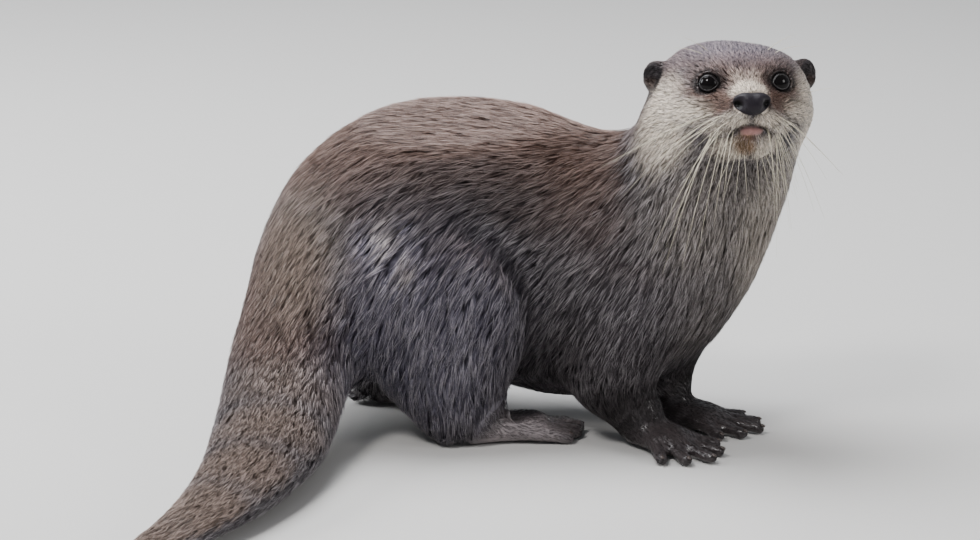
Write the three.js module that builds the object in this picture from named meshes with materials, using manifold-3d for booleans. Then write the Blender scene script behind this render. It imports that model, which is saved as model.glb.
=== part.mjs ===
// Asian small-clawed otter (Aonyx cinereus), a still, life-size model. It crouches on its hind legs with an arched
// back, stands on its forepaws, and turns its raised head to its right. The tail curls round to the same side.
// Millimetres. +X runs from rump to chest, +Y to the animal's left, +Z up, and the floor is Z = 0.
//
// The flesh is one field: a signed distance that blends ellipsoids and swept rods. It is meshed once for the body and
// again, finer, for the head and the feet, and then parted by thin cuts into the parts a person would name.
import * as THREE from "three";
import { edgeTable, triTable } from "three/addons/objects/MarchingCubes.js";
import { mergeVertices } from "three/addons/utils/BufferGeometryUtils.js";
import Module from "manifold-3d";

const wasm = await Module();
wasm.setup();

// ---------------------------------------------------------------- driving sizes
const GAP = 0.3; // between neighbouring parts
const FLOOR_BITE = 0.8; // how far soft soles and tail reach below the floor before they are pressed flat
const BODY_CELL = 14;
const TAIL_CELL = 8.5;
const HEAD_CELL = 5;
const PAW_CELL = 3.4;
const NOSE_CELL = 2.6;
const BODY_FIDELITY = 1.0; // how far simplifying may move a surface
const TAIL_FIDELITY = 1.1;
const HEAD_FIDELITY = 0.8;
const PAW_FIDELITY = 0.8;
const RELAX_ROUNDS = 6;
const CUT_FIDELITY = 0.13; // the same after cutting, which stays under half the gap

// Spine from the tail's root to the back of the skull: centre, half width, half height and heading of each station.
// A heading of 0 faces +X, and a negative one turns to the animal's right.
const SPINE = [
  { at: [-92, 0, 50], wide: 34, high: 26, turn: 20 },
  { at: [-82, 0, 76], wide: 43, high: 37, turn: 12 },
  { at: [-60, 1, 98], wide: 53, high: 51, turn: 8 },
  { at: [-31, 2, 105], wide: 57, high: 61, turn: 4 },
  { at: [2, 2, 97], wide: 58, high: 68, turn: 0 },
  { at: [36, -3, 83], wide: 54, high: 69, turn: -10 },
  { at: [66, -9, 87], wide: 49, high: 66, turn: -20 },
  { at: [90, -16, 102], wide: 44, high: 51, turn: -36 },
  { at: [104, -21, 127], wide: 43, high: 41, turn: -60 },
  { at: [112, -23, 151], wide: 41, high: 36, turn: -74 },
  { at: [117, -22, 172], wide: 33, high: 27, turn: -82 },
];

// Tail from its root in the rump to its tip, which lies on the floor in front of the animal's right side.
const TAIL = [
  { at: [-80, 2, 76], wide: 40, high: 36, turn: -150 },
  { at: [-97, -28, 48], wide: 34, high: 29, turn: -120 },
  { at: [-102, -66, 28], wide: 32, high: 22.5, turn: -95 },
  { at: [-107, -108, 17.8], wide: 30, high: 18.6, turn: -96 },
  { at: [-115, -152, 14.6], wide: 24.5, high: 15.4, turn: -104 },
  { at: [-130, -194, 10.9], wide: 17.5, high: 11.7, turn: -116 },
  { at: [-149, -224, 7], wide: 11, high: 7.8, turn: -124 },
  { at: [-172, -250, 4.6], wide: 6, high: 5.4, turn: -130 },
];

// Head frame: its origin is midway between the ears, f runs forward to the nose, a to the animal's left, h up.
const HEAD = { at: [119.8, -31, 178], turn: -84.7, tilt: 13 };
const EYE = { a: 16.6, f: 31, h: 1.2, radius: 5.9 };
const EAR = { a: 36.8, f: -7, h: 6.8, deep: 6, wide: 8, high: 8.8, turn: 38 };
const EAR_CUP = { f: 5, deep: 6, wide: 5.6, high: 6.4 };
const NOSE = { f: 53, pad: { a: 4.4, h: -8.2, deep: 5.6, wide: 5, high: 4.1 }, tip: { h: -10.2, deep: 5.9, wide: 5.4, high: 5.3 } };
const NOSTRIL = { a: 7, f: 57.2, h: -9.6, wide: 2.6, deep: 2.8, high: 2 };
const MOUTH = { h: -19.6, radius: 12.8, back: 27 }; // top of the lip line's arch, its radius, and where it starts

// Limbs: stations from the trunk outwards. The right ones are the animal's own right.
const RIGHT_THIGH = { at: [-34, -40, 74], radii: [54, 28, 50] };
const RIGHT_SHANK = [
  { at: [-20, -45, 46], wide: 19, high: 38, turn: 0 },
  { at: [-20, -47, 30], wide: 16, high: 33, turn: 0 },
  { at: [-18, -49, 15], wide: 12, high: 21, turn: 0 },
];
const RIGHT_HINDFOOT = { heel: [-20, -50, 9], turn: 18, length: 69 };
const LEFT_THIGH = { at: [-56, 40, 74], radii: [50, 27, 50] };
const LEFT_SHANK = [
  { at: [-46, 36, 46], wide: 18, high: 33, turn: 0 },
  { at: [-52, 32, 30], wide: 15, high: 27, turn: 0 },
  { at: [-60, 28, 15], wide: 12, high: 17, turn: 0 },
];
const LEFT_HINDFOOT = { heel: [-68, 26, 9], turn: 4, length: 68 };
const RIGHT_ARM = [
  { at: [78, -43, 86], wide: 21, high: 31, turn: -20 },
  { at: [62, -46, 54], wide: 20, high: 29, turn: -20 },
  { at: [57, -47, 31], wide: 15.5, high: 18, turn: -25 },
  { at: [74, -46, 17.5], wide: 12.5, high: 13, turn: -30 },
];
const RIGHT_FOREPAW = { wrist: [78, -47, 12], turn: -48 };
const LEFT_ARM = [
  { at: [100, 12, 88], wide: 20, high: 24, turn: -20 },
  { at: [101, 10, 58], wide: 15, high: 19, turn: -20 },
  { at: [93, 0, 36], wide: 12, high: 13, turn: -25 },
  { at: [92, -12, 18], wide: 10.5, high: 11, turn: -30 },
];
const LEFT_FOREPAW = { wrist: [94, -14, 12], turn: -22 };

// ---------------------------------------------------------------- fields
const rad = THREE.MathUtils.degToRad;
const FAR = 22; // beyond this a shape no longer shows in a blend, and a rough distance does

// A shape that is only looked at closely within reach of its middle.
function within(field, centre, reach) {
  return (x, y, z) => {
    const away = Math.hypot(x - centre[0], y - centre[1], z - centre[2]) - reach;
    return away > FAR ? away : field(x, y, z);
  };
}

// Union of two fields with a fillet about `round` wide.
function blend(first, second, round) {
  return (x, y, z) => {
    const a = first(x, y, z);
    const b = second(x, y, z);
    const near = Math.max(round - Math.abs(a - b), 0) / round;
    return Math.min(a, b) - (near * near * round) / 4;
  };
}

// A field less another one, with its edge rounded.
function carve(field, tool, round) {
  return (x, y, z) => {
    const a = field(x, y, z);
    const b = -tool(x, y, z);
    const near = Math.max(round - Math.abs(a - b), 0) / round;
    return Math.max(a, b) + (near * near * round) / 4;
  };
}

// Near the surface this is the distance to an ellipsoid whose scaled coordinates are given.
function ellipsoidDistance(x, y, z, rx, ry, rz) {
  const scaled = Math.hypot(x / rx, y / ry, z / rz);
  const slope = Math.hypot(x / (rx * rx), y / (ry * ry), z / (rz * rz));
  return slope < 1e-9 ? -Math.min(rx, ry, rz) : (scaled * (scaled - 1)) / slope;
}

function ball(at, radii) {
  return (x, y, z) => ellipsoidDistance(x - at[0], y - at[1], z - at[2], ...radii);
}

// An elliptical rod through stations: splines carry its centre and its size, and short straight pieces follow them.
function sweep(stations, steps = 5) {
  const centre = new THREE.CatmullRomCurve3(stations.map((s) => new THREE.Vector3(...s.at)));
  const size = new THREE.CatmullRomCurve3(stations.map((s) => new THREE.Vector3(s.wide, s.high, s.turn)));
  const count = (stations.length - 1) * steps;
  const pieces = [];
  for (let i = 0; i < count; i++) {
    const a = centre.getPoint(i / count);
    const b = centre.getPoint((i + 1) / count);
    const from = size.getPoint(i / count);
    const to = size.getPoint((i + 1) / count);
    const along = b.clone().sub(a);
    const length = along.length();
    along.normalize();
    const side = new THREE.Vector3(-Math.sin(rad(from.z)), Math.cos(rad(from.z)), 0);
    side.addScaledVector(along, -side.dot(along)).normalize();
    const reach = length + Math.max(from.x, from.y, to.x, to.y);
    pieces.push({ a, along, side, up: along.clone().cross(side), length, from, to, reach });
  }
  return (x, y, z) => {
    let least = Infinity;
    for (const { a, along, side, up, length, from, to, reach } of pieces) {
      const dx = x - a.x;
      const dy = y - a.y;
      const dz = z - a.z;
      const atLeast = Math.sqrt(dx * dx + dy * dy + dz * dz) - reach;
      if (atLeast > FAR || atLeast > least) {
        least = Math.min(least, Math.max(atLeast, FAR));
        continue;
      }
      const run = dx * along.x + dy * along.y + dz * along.z;
      const share = Math.min(Math.max(run / length, 0), 1);
      const wide = from.x + (to.x - from.x) * share;
      const high = from.y + (to.y - from.y) * share;
      const across = dx * side.x + dy * side.y + dz * side.z;
      const above = dx * up.x + dy * up.y + dz * up.z;
      const past = run - share * length;
      least = Math.min(least, ellipsoidDistance(past, across, above, Math.min(wide, high), wide, high));
    }
    return least;
  };
}

// A field given in a local frame (forward, left, up), placed at a point with a heading and a tilt upwards.
function frameOf(at, turn, tilt = 0) {
  const matrix = new THREE.Matrix4()
    .makeTranslation(...at)
    .multiply(new THREE.Matrix4().makeRotationZ(rad(turn)))
    .multiply(new THREE.Matrix4().makeRotationY(rad(-tilt)));
  return matrix;
}

function placed(field, matrix) {
  const m = matrix.clone().invert().elements;
  return (x, y, z) =>
    field(
      m[0] * x + m[4] * y + m[8] * z + m[12],
      m[1] * x + m[5] * y + m[9] * z + m[13],
      m[2] * x + m[6] * y + m[10] * z + m[14],
    );
}

// ---------------------------------------------------------------- head
const bothSides = (field) => (f, a, h) => field(f, Math.abs(a), h);

function headField() {
  const skull = ball([0, 1.2, 0], [36, 33, 20.5]);
  const temples = bothSides(ball([-2, 18, 4.5], [30, 14.5, 14]));
  const jowls = bothSides(ball([7, 19.5, -11], [25, 19, 19.5]));
  const cheeks = bothSides(ball([22, 15, -13], [18, 15, 14]));
  const jaw = ball([8, 0, -22], [29, 26, 16]);
  const bridge = ball([35, 0, -5.5], [18.5, 9, 9]);
  const muzzle = ball([40, 0, -12], [16, 12.5, 9.5]);
  const lips = bothSides(ball([41, 8.5, -17.8], [12.5, 9, 7.6]));
  const chin = ball([37, 0, -28.8], [14, 12, 7.6]);
  const brow = bothSides(ball([23, 13.5, 7], [12.5, 11, 7]));
  let head = blend(skull, temples, 8);
  head = blend(head, jowls, 9);
  head = blend(head, jaw, 10);
  head = blend(head, cheeks, 10);
  head = blend(head, bridge, 10);
  head = blend(head, muzzle, 7);
  head = blend(head, lips, 4.5);
  head = blend(head, chin, 5);
  head = blend(head, brow, 7);
  const socket = bothSides(ball([EYE.f + 8, EYE.a + 0.8, EYE.h], [4.6, 5.6, 4.8]));
  return carve(head, socket, 3);
}

const headFrame = frameOf(HEAD.at, HEAD.turn, HEAD.tilt);
const inHead = (f, a, h) => new THREE.Vector3(f, a, h).applyMatrix4(headFrame);

// ---------------------------------------------------------------- feet
// A toe or finger: a swept rod with a plump pad at its tip, in the foot's own frame.
function digit(root, heading, length, thick) {
  const reach = (share) => [
    root[0] + Math.cos(rad(heading)) * length * share,
    root[1] + Math.sin(rad(heading)) * length * share,
  ];
  const middle = thick * 0.5 - FLOOR_BITE;
  return sweep(
    [
      { at: [root[0], root[1], root[2]], wide: thick * 0.56, high: thick * 0.56, turn: heading },
      { at: [...reach(0.5), middle + thick * 0.2], wide: thick * 0.47, high: thick * 0.47, turn: heading },
      { at: [...reach(0.97), middle], wide: thick * 0.52, high: thick * 0.5, turn: heading },
    ],
    2,
  );
}

const FOREPAW = { palm: 20, wide: 13.5, high: 7.4, fingers: [-34, -16, 1, 18, 38], lengths: [17, 22, 24, 22, 16] };
const HINDPAW = { wide: 12.5, high: 8.5, toes: [-20, -9, 0, 9, 21], lengths: [19, 23, 25, 23, 17] };
const FINGER_THICK = 7.2;
const TOE_THICK = 8.6;

function forepawField({ wrist, turn }) {
  const frame = frameOf([wrist[0], wrist[1], 0], turn);
  const heel = ball([0, 0, 6.5], [12, 12.5, 7.6]);
  const palm = ball([14, 0, 6.2], [15, FOREPAW.wide, FOREPAW.high]);
  let paw = blend(heel, palm, 6);
  FOREPAW.fingers.forEach((heading, i) => {
    const spread = (i - 2) * 5.2;
    const back = Math.abs(i - 2) * 2.4;
    paw = blend(paw, digit([22 - back, spread, 6.2], heading, FOREPAW.lengths[i], FINGER_THICK), 2.4);
  });
  return within(placed(paw, frame), [...wrist.slice(0, 2), 5], 62);
}

function hindpawField({ heel, turn, length }) {
  const frame = frameOf([heel[0], heel[1], 0], turn);
  const ballOfFoot = length - HINDPAW.lengths[2];
  const sole = sweep(
    [
      { at: [0, 0, 9.4], wide: 9.5, high: 10.2, turn: 0 },
      { at: [ballOfFoot * 0.5, 0, 9.8], wide: 10.5, high: 10.6, turn: 0 },
      { at: [ballOfFoot, 0, 7.4], wide: HINDPAW.wide, high: 8.2, turn: 0 },
    ],
    3,
  );
  const web = ball([ballOfFoot + 7, 0, 3.4], [14, 13.5, 3.2]);
  let paw = blend(sole, web, 4);
  HINDPAW.toes.forEach((heading, i) => {
    const spread = (i - 2) * 4.6;
    const back = Math.abs(i - 2) * 2.2;
    paw = blend(paw, digit([ballOfFoot - back, spread, 6], heading, HINDPAW.lengths[i], TOE_THICK), 2.2);
  });
  return within(placed(paw, frame), [...heel.slice(0, 2), 5], length + 14);
}

// ---------------------------------------------------------------- the whole flesh
function fleshField() {
  let flesh = blend(sweep(SPINE), sweep(TAIL), 14);
  flesh = blend(flesh, within(placed(headField(), headFrame), inHead(15, 0, -10).toArray(), 62), 12);
  for (const thigh of [RIGHT_THIGH, LEFT_THIGH]) flesh = blend(flesh, ball(thigh.at, thigh.radii), 5);
  for (const shank of [RIGHT_SHANK, LEFT_SHANK]) flesh = blend(flesh, sweep(shank), 10);
  for (const arm of [RIGHT_ARM, LEFT_ARM]) flesh = blend(flesh, sweep(arm), 12);
  for (const paw of [RIGHT_FOREPAW, LEFT_FOREPAW]) flesh = blend(flesh, forepawField(paw), 6);
  for (const paw of [RIGHT_HINDFOOT, LEFT_HINDFOOT]) flesh = blend(flesh, hindpawField(paw), 6);
  return flesh;
}

// ---------------------------------------------------------------- meshing
const CORNERS = [
  [0, 0, 0],
  [1, 0, 0],
  [1, 1, 0],
  [0, 1, 0],
  [0, 0, 1],
  [1, 0, 1],
  [1, 1, 1],
  [0, 1, 1],
];
const EDGES = [
  [0, 1],
  [1, 2],
  [2, 3],
  [3, 0],
  [4, 5],
  [5, 6],
  [6, 7],
  [7, 4],
  [0, 4],
  [1, 5],
  [2, 6],
  [3, 7],
];

// Marching cubes over a box. Outside the box the field counts as air, so the surface is always closed.
function surfaceOf(field, box, cell) {
  const size = box.getSize(new THREE.Vector3()).divideScalar(cell).ceil().addScalar(1);
  const [nx, ny, nz] = size.toArray();
  const at = (i, j, k) => i + nx * (j + ny * k);
  const values = new Float32Array(nx * ny * nz);
  for (let k = 0; k < nz; k++)
    for (let j = 0; j < ny; j++)
      for (let i = 0; i < nx; i++) {
        const border = i === 0 || j === 0 || k === 0 || i === nx - 1 || j === ny - 1 || k === nz - 1;
        const found = field(box.min.x + i * cell, box.min.y + j * cell, box.min.z + k * cell);
        const off = Math.abs(found) < 1e-3 ? 1e-3 : found;
        values[at(i, j, k)] = border ? Math.max(off, cell * 0.5) : off;
      }
  const points = [];
  const triangles = [];
  const made = new Map();
  const vertexOn = (i, j, k, edge) => {
    const [a, b] = EDGES[edge].map((c) => CORNERS[c].map((step, axis) => step + [i, j, k][axis]));
    const [ia, ib] = [at(...a), at(...b)];
    const key = Math.min(ia, ib) * 3 + a.findIndex((v, axis) => v !== b[axis]);
    if (!made.has(key)) {
      const share = values[ia] / (values[ia] - values[ib]);
      made.set(key, points.length / 3);
      const spot = a.map((v, axis) => v + (b[axis] - v) * share);
      points.push(...box.min.toArray().map((low, axis) => low + spot[axis] * cell));
    }
    return made.get(key);
  };
  for (let k = 0; k < nz - 1; k++)
    for (let j = 0; j < ny - 1; j++)
      for (let i = 0; i < nx - 1; i++) {
        let cube = 0;
        CORNERS.forEach(([a, b, c], bit) => {
          if (values[at(i + a, j + b, k + c)] < 0) cube |= 1 << bit;
        });
        if (edgeTable[cube] === 0) continue;
        for (let t = cube * 16; triTable[t] !== -1; t += 3)
          triangles.push(...[0, 2, 1].map((n) => vertexOn(i, j, k, triTable[t + n])));
      }
  relax(points, triangles, field, cell);
  const geometry = new THREE.BufferGeometry();
  geometry.setAttribute("position", new THREE.Float32BufferAttribute(points, 3));
  geometry.setIndex(triangles);
  return geometry;
}

// Evens out the grid's triangles: each corner moves towards the mean of its neighbours and back onto the surface.
function relax(points, triangles, field, cell) {
  const count = points.length / 3;
  const step = cell * 0.1;
  for (let round = 0; round < RELAX_ROUNDS; round++) {
    const sums = new Float64Array(count * 4);
    for (let t = 0; t < triangles.length; t += 3)
      for (let c = 0; c < 3; c++) {
        const to = triangles[t + c] * 4;
        const from = triangles[t + ((c + 1) % 3)] * 3;
        for (let axis = 0; axis < 3; axis++) sums[to + axis] += points[from + axis];
        sums[to + 3] += 1;
      }
    for (let v = 0; v < count; v++) {
      const p = [0, 1, 2].map((axis) => points[v * 3 + axis] * 0.4 + (sums[v * 4 + axis] / sums[v * 4 + 3]) * 0.6);
      for (let pass = 0; pass < 2; pass++) {
        const here = field(...p);
        const slope = [0, 1, 2].map((axis) => (field(...p.map((w, a) => w + (a === axis ? step : 0))) - here) / step);
        const steep = Math.max(slope[0] ** 2 + slope[1] ** 2 + slope[2] ** 2, 0.2);
        const far = Math.min(Math.max(here / steep, -cell), cell);
        for (let axis = 0; axis < 3; axis++) p[axis] -= far * slope[axis];
      }
      for (let axis = 0; axis < 3; axis++) points[v * 3 + axis] = p[axis];
    }
  }
}

// ---------------------------------------------------------------- solids
function solidOf(geometry) {
  const bare = geometry.clone();
  bare.deleteAttribute("normal");
  bare.deleteAttribute("uv");
  const merged = mergeVertices(bare, 1e-4);
  return new wasm.Manifold(
    new wasm.Mesh({
      numProp: 3,
      vertProperties: new Float32Array(merged.attributes.position.array),
      triVerts: new Uint32Array(merged.index.array),
    }),
  );
}

function geometryOf(solid) {
  const mesh = solid.getMesh();
  const geometry = new THREE.BufferGeometry();
  geometry.setAttribute("position", new THREE.Float32BufferAttribute(mesh.vertProperties, 3));
  geometry.setIndex([...mesh.triVerts]);
  return geometry.toNonIndexed();
}

// The biggest piece, which drops a crumb that a cut leaves.
const mainPiece = (solid) => solid.decompose().sort((a, b) => b.volume() - a.volume())[0];

const boxSolid = (low, high) => {
  const size = new THREE.Vector3(...high).sub(new THREE.Vector3(...low));
  const middle = new THREE.Vector3(...high).add(new THREE.Vector3(...low)).multiplyScalar(0.5);
  return solidOf(new THREE.BoxGeometry(...size.toArray()).translate(...middle.toArray()));
};

const ROUND = [12, 7]; // segments and rings of an oval
const ovalSolid = (at, radii, grow = 0, matrix = new THREE.Matrix4()) =>
  solidOf(
    new THREE.SphereGeometry(1, ...ROUND)
      .scale(...radii.map((r) => r + grow))
      .translate(...at)
      .applyMatrix4(matrix),
  );

// Half space beyond a plane through a point, as a large slab on the side that the normal points to.
function beyond(point, normal, grow = 0) {
  const reach = 700;
  const turn = new THREE.Quaternion().setFromUnitVectors(new THREE.Vector3(0, 0, 1), normal.clone().normalize());
  return solidOf(
    new THREE.BoxGeometry(reach, reach, reach)
      .translate(0, 0, reach / 2 - grow)
      .applyQuaternion(turn)
      .translate(...point.toArray()),
  );
}

// ---------------------------------------------------------------- the parts
const COLOURS = {
  coat: new THREE.Color(0.36, 0.31, 0.27),
  skin: new THREE.Color(0.16, 0.14, 0.13),
  nose: new THREE.Color(0.07, 0.06, 0.06),
  eye: new THREE.Color(0.02, 0.02, 0.025),
};
const group = new THREE.Group();

function put(name, solid, colour) {
  const material = new THREE.MeshStandardMaterial({ color: COLOURS[colour], roughness: 0.7 });
  const mesh = new THREE.Mesh(geometryOf(mainPiece(solid).asOriginal().simplify(CUT_FIDELITY)), material);
  mesh.name = name;
  group.add(mesh);
}

// Takes a region out of a solid: the piece inside it, and what is left outside a gap.
function part(solid, region) {
  return [solid.intersect(region(0)), solid.subtract(region(GAP))];
}

const along = (f, a, h) => new THREE.Vector3(f, a, h).transformDirection(headFrame);
const towards = (turn, rise = 0) => new THREE.Vector3(Math.cos(rad(turn)), Math.sin(rad(turn)), rise).normalize();
const point = (x, y, z) => new THREE.Vector3(x, y, z);
const SIDES = { right: -1, left: 1 };

// Boxes that hold one paw or the tail each, and no other flesh below their tops.
const REACH = {
  forepaw_right: { low: [64, -98, -20], high: [124, -28, 30] },
  forepaw_left: { low: [80, -60, -20], high: [152, 12, 30] },
  hindfoot_right: { low: [-46, -78, -20], high: [56, -15, 13] },
  hindfoot_left: { low: [-96, 4, -20], high: [20, 58, 15] },
  tail_base: { low: [-240, -300, -20], high: [-68, 40, 80] },
};

// Cutting planes: a point on the plane, and the direction of the side that becomes the part named.
const PLANES = {
  head: [inHead(-32, 0, -17), along(0.44, 0, 0.9)],
  neck: [point(84, -14, 140), point(0.75, -0.3, 0.6)],
  tail_base: [point(-95, -30, 48), towards(-106, -0.6)],
  tail_middle: [point(-107, -108, 18), towards(-97)],
  tail_tip: [point(-130, -194, 10), towards(-116)],
  rump: [point(-16, 0, 100), towards(180, -0.1)],
  forepaw_right: [point(75, -46, 19), towards(-45, -1)],
  forepaw_left: [point(92, -12, 19), towards(-25, -1)],
  hindfoot_right: [point(-10, -48, 16), towards(14, -2)],
  hindfoot_left: [point(-54, 28, 16), towards(0, -2)],
};
const cutAway = (name) => (grow) => {
  const side = beyond(...PLANES[name], grow);
  if (!REACH[name]) return side;
  const { low, high } = REACH[name];
  return side.intersect(boxSolid(low.map((v) => v - grow), high.map((v) => v + grow)));
};

// Ovals that take the upper legs out of the trunk.
const LEG_OVALS = {
  hindleg_right: { at: [-30, -60, 50], radii: [58, 36, 68] },
  hindleg_left: { at: [-56, 50, 44], radii: [54, 40, 60] },
  foreleg_right: { at: [66, -72, 46], radii: [38, 46, 58] },
  foreleg_left: { at: [103, 18, 34], radii: [32, 44, 46] },
};
const oval = (name) => (grow) => ovalSolid(LEG_OVALS[name].at, LEG_OVALS[name].radii, grow);

// The flesh inside a box, above the floor.
function fleshSolid(low, high, cell, fidelity) {
  const solid = solidOf(surfaceOf(flesh, new THREE.Box3(point(...low), point(...high)), cell));
  return solid.subtract(beyond(point(0, 0, 0), point(0, 0, -1))).asOriginal().simplify(fidelity).asOriginal();
}

const flesh = fleshField();

// ---- paws, at their own finer grain
const PAWS = ["forepaw_right", "forepaw_left", "hindfoot_right", "hindfoot_left"];
for (const name of PAWS) {
  const { low, high } = REACH[name];
  const fine = fleshSolid([low[0] - 4, low[1] - 4, -3], high.map((v) => v + 4), PAW_CELL, PAW_FIDELITY);
  put(name, fine.intersect(cutAway(name)(0)), "skin");
}

// ---- trunk, legs and tail
let rest = fleshSolid([-150, -120, -4], [170, 82, 190], BODY_CELL, BODY_FIDELITY);
for (const name of ["head", "tail_base", ...PAWS]) rest = rest.subtract(cutAway(name)(GAP));
let tail = fleshSolid([-190, -262, -4], [-50, 50, 100], TAIL_CELL, TAIL_FIDELITY).intersect(cutAway("tail_base")(0));
let piece;
for (const name of Object.keys(LEG_OVALS)) {
  [piece, rest] = part(rest, oval(name));
  put(name, piece, "coat");
}
let tip;
[tip, tail] = part(tail, cutAway("tail_tip"));
let middle;
[middle, tail] = part(tail, cutAway("tail_middle"));
put("tail_base", tail, "coat");
put("tail_middle", middle, "coat");
put("tail_tip", tip, "coat");
[piece, rest] = part(rest, cutAway("neck"));
put("neck", piece, "coat");
[piece, rest] = part(rest, cutAway("rump"));
put("rump", piece, "coat");
put("chest", rest, "coat");

// ---- head, with its nose, eyes, ears and lower jaw
const noseField = carve(
  blend(
    bothSides(ball([NOSE.f, NOSE.pad.a, NOSE.pad.h], [NOSE.pad.deep, NOSE.pad.wide, NOSE.pad.high])),
    ball([NOSE.f, 0, NOSE.tip.h], [NOSE.tip.deep, NOSE.tip.wide, NOSE.tip.high]),
    4,
  ),
  bothSides(ball([NOSTRIL.f, NOSTRIL.a, NOSTRIL.h], [NOSTRIL.deep, NOSTRIL.wide, NOSTRIL.high])),
  1,
);
const noseBox = new THREE.Box3(point(NOSE.f - 8, -13, -19), point(NOSE.f + 9, 13, -1));
const noseSolid = (grow) =>
  solidOf(surfaceOf((f, a, h) => noseField(f, a, h) - grow, noseBox, NOSE_CELL).applyMatrix4(headFrame));

let head = fleshSolid([60, -104, 120], [180, 22, 214], HEAD_CELL, HEAD_FIDELITY).intersect(cutAway("head")(0));
put("nose", noseSolid(0), "nose");
head = head.subtract(noseSolid(GAP));
for (const [side, sign] of Object.entries(SIDES)) {
  const eyeball = (grow) => ovalSolid([EYE.f, sign * EYE.a, EYE.h], Array(3).fill(EYE.radius), grow, headFrame);
  put(`eye_${side}`, eyeball(0), "eye");
  const earFrame = headFrame
    .clone()
    .multiply(new THREE.Matrix4().makeTranslation(EAR.f, sign * EAR.a, EAR.h))
    .multiply(new THREE.Matrix4().makeRotationZ(rad(sign * EAR.turn)));
  const shell = (grow) => ovalSolid([0, 0, 0], [EAR.deep, EAR.wide, EAR.high], grow, earFrame);
  const cup = ovalSolid([EAR_CUP.f, 0, 0.4], [EAR_CUP.deep, EAR_CUP.wide, EAR_CUP.high], 0, earFrame);
  put(`ear_${side}`, shell(0).subtract(cup), "coat");
  head = head.subtract(eyeball(GAP)).subtract(shell(GAP));
}
const jawRegion = (grow) =>
  solidOf(
    new THREE.CylinderGeometry(MOUTH.radius + grow, MOUTH.radius + grow, 60 + grow, 64)
      .rotateZ(Math.PI / 2)
      .translate(MOUTH.back + 30 - grow / 2, 0, MOUTH.h - MOUTH.radius)
      .applyMatrix4(headFrame),
  );
[piece, head] = part(head, jawRegion);
put("lower_jaw", piece, "coat");
put("head", head, "coat");

// ---------------------------------------------------------------- origin at the middle of the bottom
const bounds = new THREE.Box3().setFromObject(group);
const centre = bounds.getCenter(point(0, 0, 0));
group.position.set(-centre.x, -centre.y, -bounds.min.z);
const root = new THREE.Group();
root.add(group);

export default root;
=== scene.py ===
"""Small-clawed otter on all fours: skin, coat, eyes, nose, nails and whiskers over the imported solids.

Places are in millimetres in the pose's own coordinates, the same as in the solids' source, and
`Placing` turns them into the row's frame. Angles are in degrees.
"""

import logging
import math
from dataclasses import dataclass, field
from enum import Enum

import bmesh
import bpy
import numpy as np
from mathutils import Matrix, Vector
from mathutils.bvhtree import BVHTree
from mathutils.kdtree import KDTree


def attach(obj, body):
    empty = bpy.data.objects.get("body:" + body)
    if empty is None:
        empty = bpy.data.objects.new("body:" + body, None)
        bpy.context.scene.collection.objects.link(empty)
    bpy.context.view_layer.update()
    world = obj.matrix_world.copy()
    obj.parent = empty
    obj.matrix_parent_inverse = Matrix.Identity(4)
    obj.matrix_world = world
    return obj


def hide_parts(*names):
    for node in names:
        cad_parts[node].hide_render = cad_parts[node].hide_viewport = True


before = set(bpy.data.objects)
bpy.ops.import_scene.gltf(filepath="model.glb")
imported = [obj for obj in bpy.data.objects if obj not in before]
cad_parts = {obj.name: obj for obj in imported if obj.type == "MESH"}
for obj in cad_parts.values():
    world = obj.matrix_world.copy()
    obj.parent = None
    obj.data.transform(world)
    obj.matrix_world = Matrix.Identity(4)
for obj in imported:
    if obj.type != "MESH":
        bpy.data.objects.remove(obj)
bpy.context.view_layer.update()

LOG = logging.getLogger("otter")
MM = 0.001
POSE_SHIFT = Vector((5.886, 93.478, 0.0))  # from the pose's own origin to the middle of the solids' box
Point = tuple[float, float, float]
Array = np.ndarray
Piece = bpy.types.Object
Material = bpy.types.Material
Socket = bpy.types.NodeSocket


# ---------------------------------------------------------------- places
@dataclass(frozen=True)
class Placing:
    """A local frame with forward, left and up axes.

    Args:
        at: Its origin in the pose's coordinates.
        turn: Heading about the vertical, 0 towards +X.
        tilt: Rise of the forward axis above the level.
    """

    at: Point = (0.0, 0.0, 0.0)
    turn: float = 0.0
    tilt: float = 0.0

    def axes(self) -> Matrix:
        """Returns the rotation whose columns are forward, left and up."""
        turned = Matrix.Rotation(math.radians(self.turn), 3, "Z")
        return turned @ Matrix.Rotation(-math.radians(self.tilt), 3, "Y")

    def point(self, f: float, a: float, h: float) -> Vector:
        """Returns a local place in metres in the row's frame."""
        return (self.axes() @ Vector((f, a, h)) + Vector(self.at) + POSE_SHIFT) * MM

    def heading(self, f: float, a: float, h: float) -> Vector:
        """Returns a local direction in the row's frame."""
        return (self.axes() @ Vector((f, a, h))).normalized()

    def local(self, points: Array) -> Array:
        """Returns places of the row's frame, in metres, as local millimetres."""
        origin = np.array(Vector(self.at) + POSE_SHIFT)
        return (points / MM - origin) @ np.array(self.axes())


POSE = Placing()
HEAD = Placing((119.8, -31, 178), -84.7, 13)
SIDES = {"right": -1, "left": 1}


class Sole(Enum):
    """The four feet, each with its frame on the floor."""

    RIGHT_FORE = Placing((78, -47, 0), -48)
    LEFT_FORE = Placing((94, -14, 0), -22)
    RIGHT_HIND = Placing((-20, -50, 0), 18)
    LEFT_HIND = Placing((-68, 26, 0), 4)


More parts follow.
